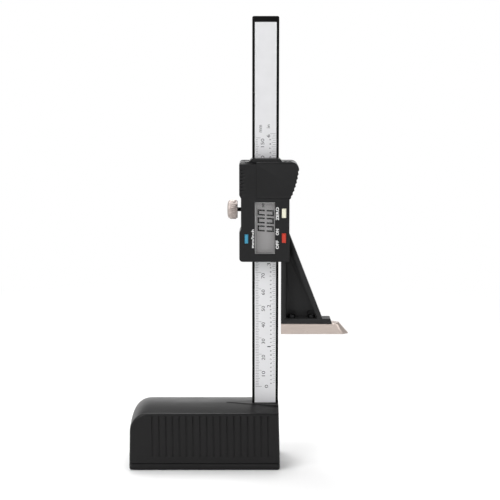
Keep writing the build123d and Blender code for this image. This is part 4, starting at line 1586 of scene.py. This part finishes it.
@dataclass
class LockKnob:
    """Domed knob with a straight knurl, and its threaded stud.

    Attributes:
        knurls: Ridges round the rim.
        knurl_depth: Depth of the grooves between them.
        knurl_power: Power of the sine that rounds the ridges.
        knurl_points: Points round one ridge.
        radius: Radius over the ridges.
        lip_radius: Radius of the collar behind the rim.
        length: Length of the knob along its axis.
        dome: How far the dome stands out of the rim.
        dome_fall: Share of that by which the dome's edge lies lower than its tip.
        dome_powers: Powers of the dome's fall and of its radius.
        dome_rings: Rings of points on the dome.
        lip: Length of the collar.
        chamfer: Bevel at both ends of the rim.
        stud_radius: Radius over the thread.
        thread_pitch: Advance of the thread in one turn.
        thread_depth: Depth of the thread.
        thread_points: Points in one turn of the thread.
        thread_rings: Rings of points in one pitch.
        knob_crease: Widest angle in degrees that is shaded as one curve on the knob.
        stud_crease: The same on the stud.
    """

    knurls: int = 30
    knurl_depth: float = 0.42
    knurl_power: float = 0.7
    knurl_points: int = 8
    radius: float = 5.75
    lip_radius: float = 5.2
    length: float = 6.1
    dome: float = 1.9
    dome_fall: float = 0.72
    dome_powers: Span = (2.4, 0.9)
    dome_rings: int = 14
    lip: float = 0.7
    chamfer: float = 0.5
    stud_radius: float = 1.25
    thread_pitch: float = 0.45
    thread_depth: float = 0.14
    thread_points: int = 32
    thread_rings: int = 8
    knob_crease: float = 30.0
    stud_crease: float = 50.0

    def knob(self, left: float, centre: np.ndarray) -> Surface:
        """Turned knob: the outline runs from the dome's middle over the knurled rim to the collar.

        The rim's radius falls by the knurl's depth in a row of grooves, each an absolute sine of the turn.

        Args:
            left: Distance from the centre to the dome's tip.
            centre: Point of the axis from which the outline is measured.

        Returns:
            The knob's surface.
        """
        right = left - self.length
        share = np.linspace(0.0, 1.0, self.dome_rings)
        dome_along = left - self.dome * self.dome_fall * share ** self.dome_powers[0]
        dome_radius = (self.radius - self.chamfer) * np.sin(share * math.pi / 2) ** self.dome_powers[1]
        rim = [(left - self.dome, self.radius), (right + self.lip + self.chamfer / 2, self.radius)]
        collar = [
            (right + self.lip, self.radius - self.chamfer / 2),
            (right + self.lip, self.lip_radius),
            (right + self.lip / 3, self.lip_radius),
            (right, self.lip_radius - self.chamfer / 2),
            (right, 0.0),
        ]
        outline = np.vstack([np.column_stack([dome_along, dome_radius]), rim, collar])
        knurled = np.zeros(len(outline))
        knurled[len(share):len(share) + len(rim)] = 1.0
        columns = self.knurl_points * self.knurls
        ridge = np.abs(np.sin(turn_angles(columns) * self.knurls / 2)) ** self.knurl_power
        radii = outline[:, 1:] - knurled[:, None] * self.knurl_depth * (1 - ridge[None, :])
        return lathe(outline[:, 0], radii, Facing.LEFT, centre, columns)

    def stud(self, length: float, centre: np.ndarray) -> Surface:
        """Threaded stud: its radius is a cosine of the way along it less the share of a turn.

        Args:
            length: Length of the stud.
            centre: Centre of its free end.

        Returns:
            The stud's surface.
        """
        columns = self.thread_points
        along = np.linspace(length, 0.0, int(length / self.thread_pitch * self.thread_rings))
        wave = np.cos(2 * math.pi * along[:, None] / self.thread_pitch - turn_angles(columns)[None, :])
        radii = self.stud_radius - self.thread_depth * (1 + wave) / 2
        along, radii = np.append(along, 0.0), np.vstack([radii, np.zeros(columns)])
        return lathe(along, radii, Facing.LEFT, centre, columns)

    def build(self) -> None:
        """Turns the knob and its stud about the lock's axis."""
        box = NodeBox.of("lock_screw")
        centre = np.array([box.high[0], box.centre[1], box.centre[2]])
        left = box.high[0] - box.low[0]
        knob, stud = self.knob(left, centre), self.stud(left - self.length, centre)
        for piece in (
            piece_from(knob, "lock_knob", Body.LOCK_SCREW, PLATED_STEEL, self.knob_crease),
            piece_from(stud, "lock_stud", Body.LOCK_SCREW, DARK_STEEL, self.stud_crease),
        ):
            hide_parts("lock_screw")


@dataclass(frozen=True)
class Lamp:
    """Square soft lamp.

    Attributes:
        name: Name of the lamp.
        place: Its place in metres.
        target: Point that it looks at, in metres.
        size: Length of its side in metres.
        power: Its power in watts.
    """

    name: str
    place: tuple[float, float, float]
    target: tuple[float, float, float]
    size: float
    power: float

    def build(self) -> None:
        """Hangs the lamp and turns its face to the target."""
        light = bpy.data.lights.new(self.name, "AREA")
        light.shape = "SQUARE"
        light.size = self.size
        light.energy = self.power
        lamp = bpy.data.objects.new(self.name, light)
        bpy.context.scene.collection.objects.link(lamp)
        lamp.location = self.place
        x, y, z = np.array(self.target) - np.array(self.place)
        lamp.rotation_euler = (math.atan2(math.hypot(x, y), -z), 0.0, math.atan2(-x, y))


@dataclass
class Studio:
    """Camera, lamps, sky and floor.

    Attributes:
        camera_place: Place of the camera in millimetres.
        camera_pitch: How far it looks down, in degrees.
        focal_length: Its focal length in millimetres.
        sensor: Width of its sensor in millimetres.
        clip: Nearest and furthest distance that it sees, in metres.
        floor_half: Half of the floor's side in metres.
        floor_tones: Darkest and lightest tone of the floor.
        floor_speckle: Size of its speckle in millimetres.
        floor_glow: Share of glow in the floor beside the gauge and far from it.
        glow_band: Distances in metres between which that share grows.
        sky_fill: Strength of the sky as a light.
        sky_mirror: Strength of the sky in mirrors, low down and high up.
        mirror_band: Sines of the heights between which that strength falls.
        lamps: The lamps.
    """

    camera_place: tuple[float, float, float] = (27.1, -805.0, 272.2)
    camera_pitch: float = 10.0
    focal_length: float = 99.1
    sensor: float = 36.0
    clip: Span = (0.01, 50.0)
    floor_half: float = 6.0
    floor_tones: Span = (0.79, 0.81)
    floor_speckle: float = 30.0
    floor_glow: Span = (0.0, 1.0)
    glow_band: Span = (0.22, 0.55)
    sky_fill: float = 0.34
    sky_mirror: Span = (1.5, 0.12)
    mirror_band: Span = (0.15, 0.7)
    lamps: tuple[Lamp, ...] = (
        Lamp("key", (-0.85, -0.75, 1.15), (0.0, 0.0, 0.1), 0.85, 13.5),
        Lamp("top", (-0.1, 0.38, 1.4), (0.0, 0.0, 0.1), 0.95, 19.0),
        Lamp("fill", (1.1, -0.8, 0.7), (0.03, 0.0, 0.12), 1.0, 4.0),
    )

    def sky(self) -> None:
        """World that is white to the camera, an even grey as a light and brightest low down in mirrors."""
        world = bpy.data.worlds.new("studio")
        bpy.context.scene.world = world
        graph = Graph(world)
        path = graph.node("LightPath").outputs
        rise = graph.node("SeparateXYZ", {0: graph.node("TexCoord").outputs["Generated"]}).outputs["Z"]
        mirrored = graph.remap(rise, self.mirror_band, self.sky_mirror)
        strength = graph.blend(path["Is Glossy Ray"], self.sky_fill, mirrored)
        clear = graph.larger(path["Is Camera Ray"], path["Is Transmission Ray"])
        sky = graph.node("Background", {"Color": WHITE, "Strength": graph.blend(clear, strength, 1.0)})
        graph.node("OutputWorld", {0: sky.outputs[0]})

    def floor(self) -> None:
        """Pale floor that keeps the shadow near the gauge and glows to the camera further out."""
        half = self.floor_half
        corners = [(-half, -half, 0.0), (half, -half, 0.0), (half, half, 0.0), (-half, half, 0.0)]
        mesh = bpy.data.meshes.new("studio_floor")
        mesh.from_pydata(corners, [], [(0, 1, 2, 3)])
        graph = Graph(bpy.data.materials.new("studio_floor"))
        place = graph.place()
        dark, light = ((level,) * 3 for level in self.floor_tones)
        tone = graph.mix(graph.noise(place, self.floor_speckle), dark, light)
        paper = graph.node("BsdfDiffuse", {"Color": tone})
        glow = graph.node("Emission", {"Color": WHITE, "Strength": 1.0})
        distance = graph.node("VectorMath", {0: place}, operation="LENGTH").outputs["Value"]
        path = graph.node("LightPath").outputs
        mirrored = graph.larger(path["Is Camera Ray"], path["Is Glossy Ray"])
        seen = graph.larger(mirrored, path["Is Transmission Ray"])
        share = graph.blend(seen, 0.0, graph.remap(distance, self.glow_band, self.floor_glow))
        blend = graph.node("MixShader", {0: share, 1: paper.outputs[0], 2: glow.outputs[0]})
        graph.node("OutputMaterial", {0: blend.outputs[0]})
        mesh.materials.append(graph.owner)
        floor = bpy.data.objects.new("studio_floor", mesh)
        bpy.context.scene.collection.objects.link(floor)

    def camera(self) -> None:
        """Camera at the photograph's height and slight downward view."""
        data = bpy.data.cameras.new("view")
        data.sensor_width = self.sensor
        data.lens = self.focal_length
        data.clip_start, data.clip_end = self.clip
        camera = bpy.data.objects.new("view", data)
        bpy.context.scene.collection.objects.link(camera)
        camera.location = tuple(value * MM for value in self.camera_place)
        camera.rotation_euler = (math.radians(90.0 - self.camera_pitch), 0.0, 0.0)
        bpy.context.scene.camera = camera

    def build(self) -> None:
        """Sets up camera, sky, floor and lamps."""
        bpy.context.scene.view_settings.view_transform = "Standard"
        self.camera()
        self.sky()
        self.floor()
        for lamp in self.lamps:
            lamp.build()


def dress_nodes(nodes: dict[str, bpy.types.Object]) -> None:
    """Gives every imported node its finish.

    Args:
        nodes: The frame's nodes by name.
    """
    finishes = {name: finish for finish, names in NODES_BY_FINISH.items() for name in names}
    for name, node in nodes.items():
        material = finishes[name].material()
        if not node.data.materials:
            node.data.materials.append(material)
        for index in range(len(node.data.materials)):
            node.data.materials[index] = material
        LOG.info("%s: %s", name, material.name)


def main() -> None:
    """Loads the frame, dresses its nodes and builds each sub-assembly and the studio around it."""
    logging.basicConfig(level=logging.INFO, format="%(name)s %(message)s")
    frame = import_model()
    dress_nodes(frame["nodes"])
    for part in (Base(), Column(), Readout(), Slider(), LockKnob(), Studio()):
        part.build()


if __name__ == "__main__":
    main()
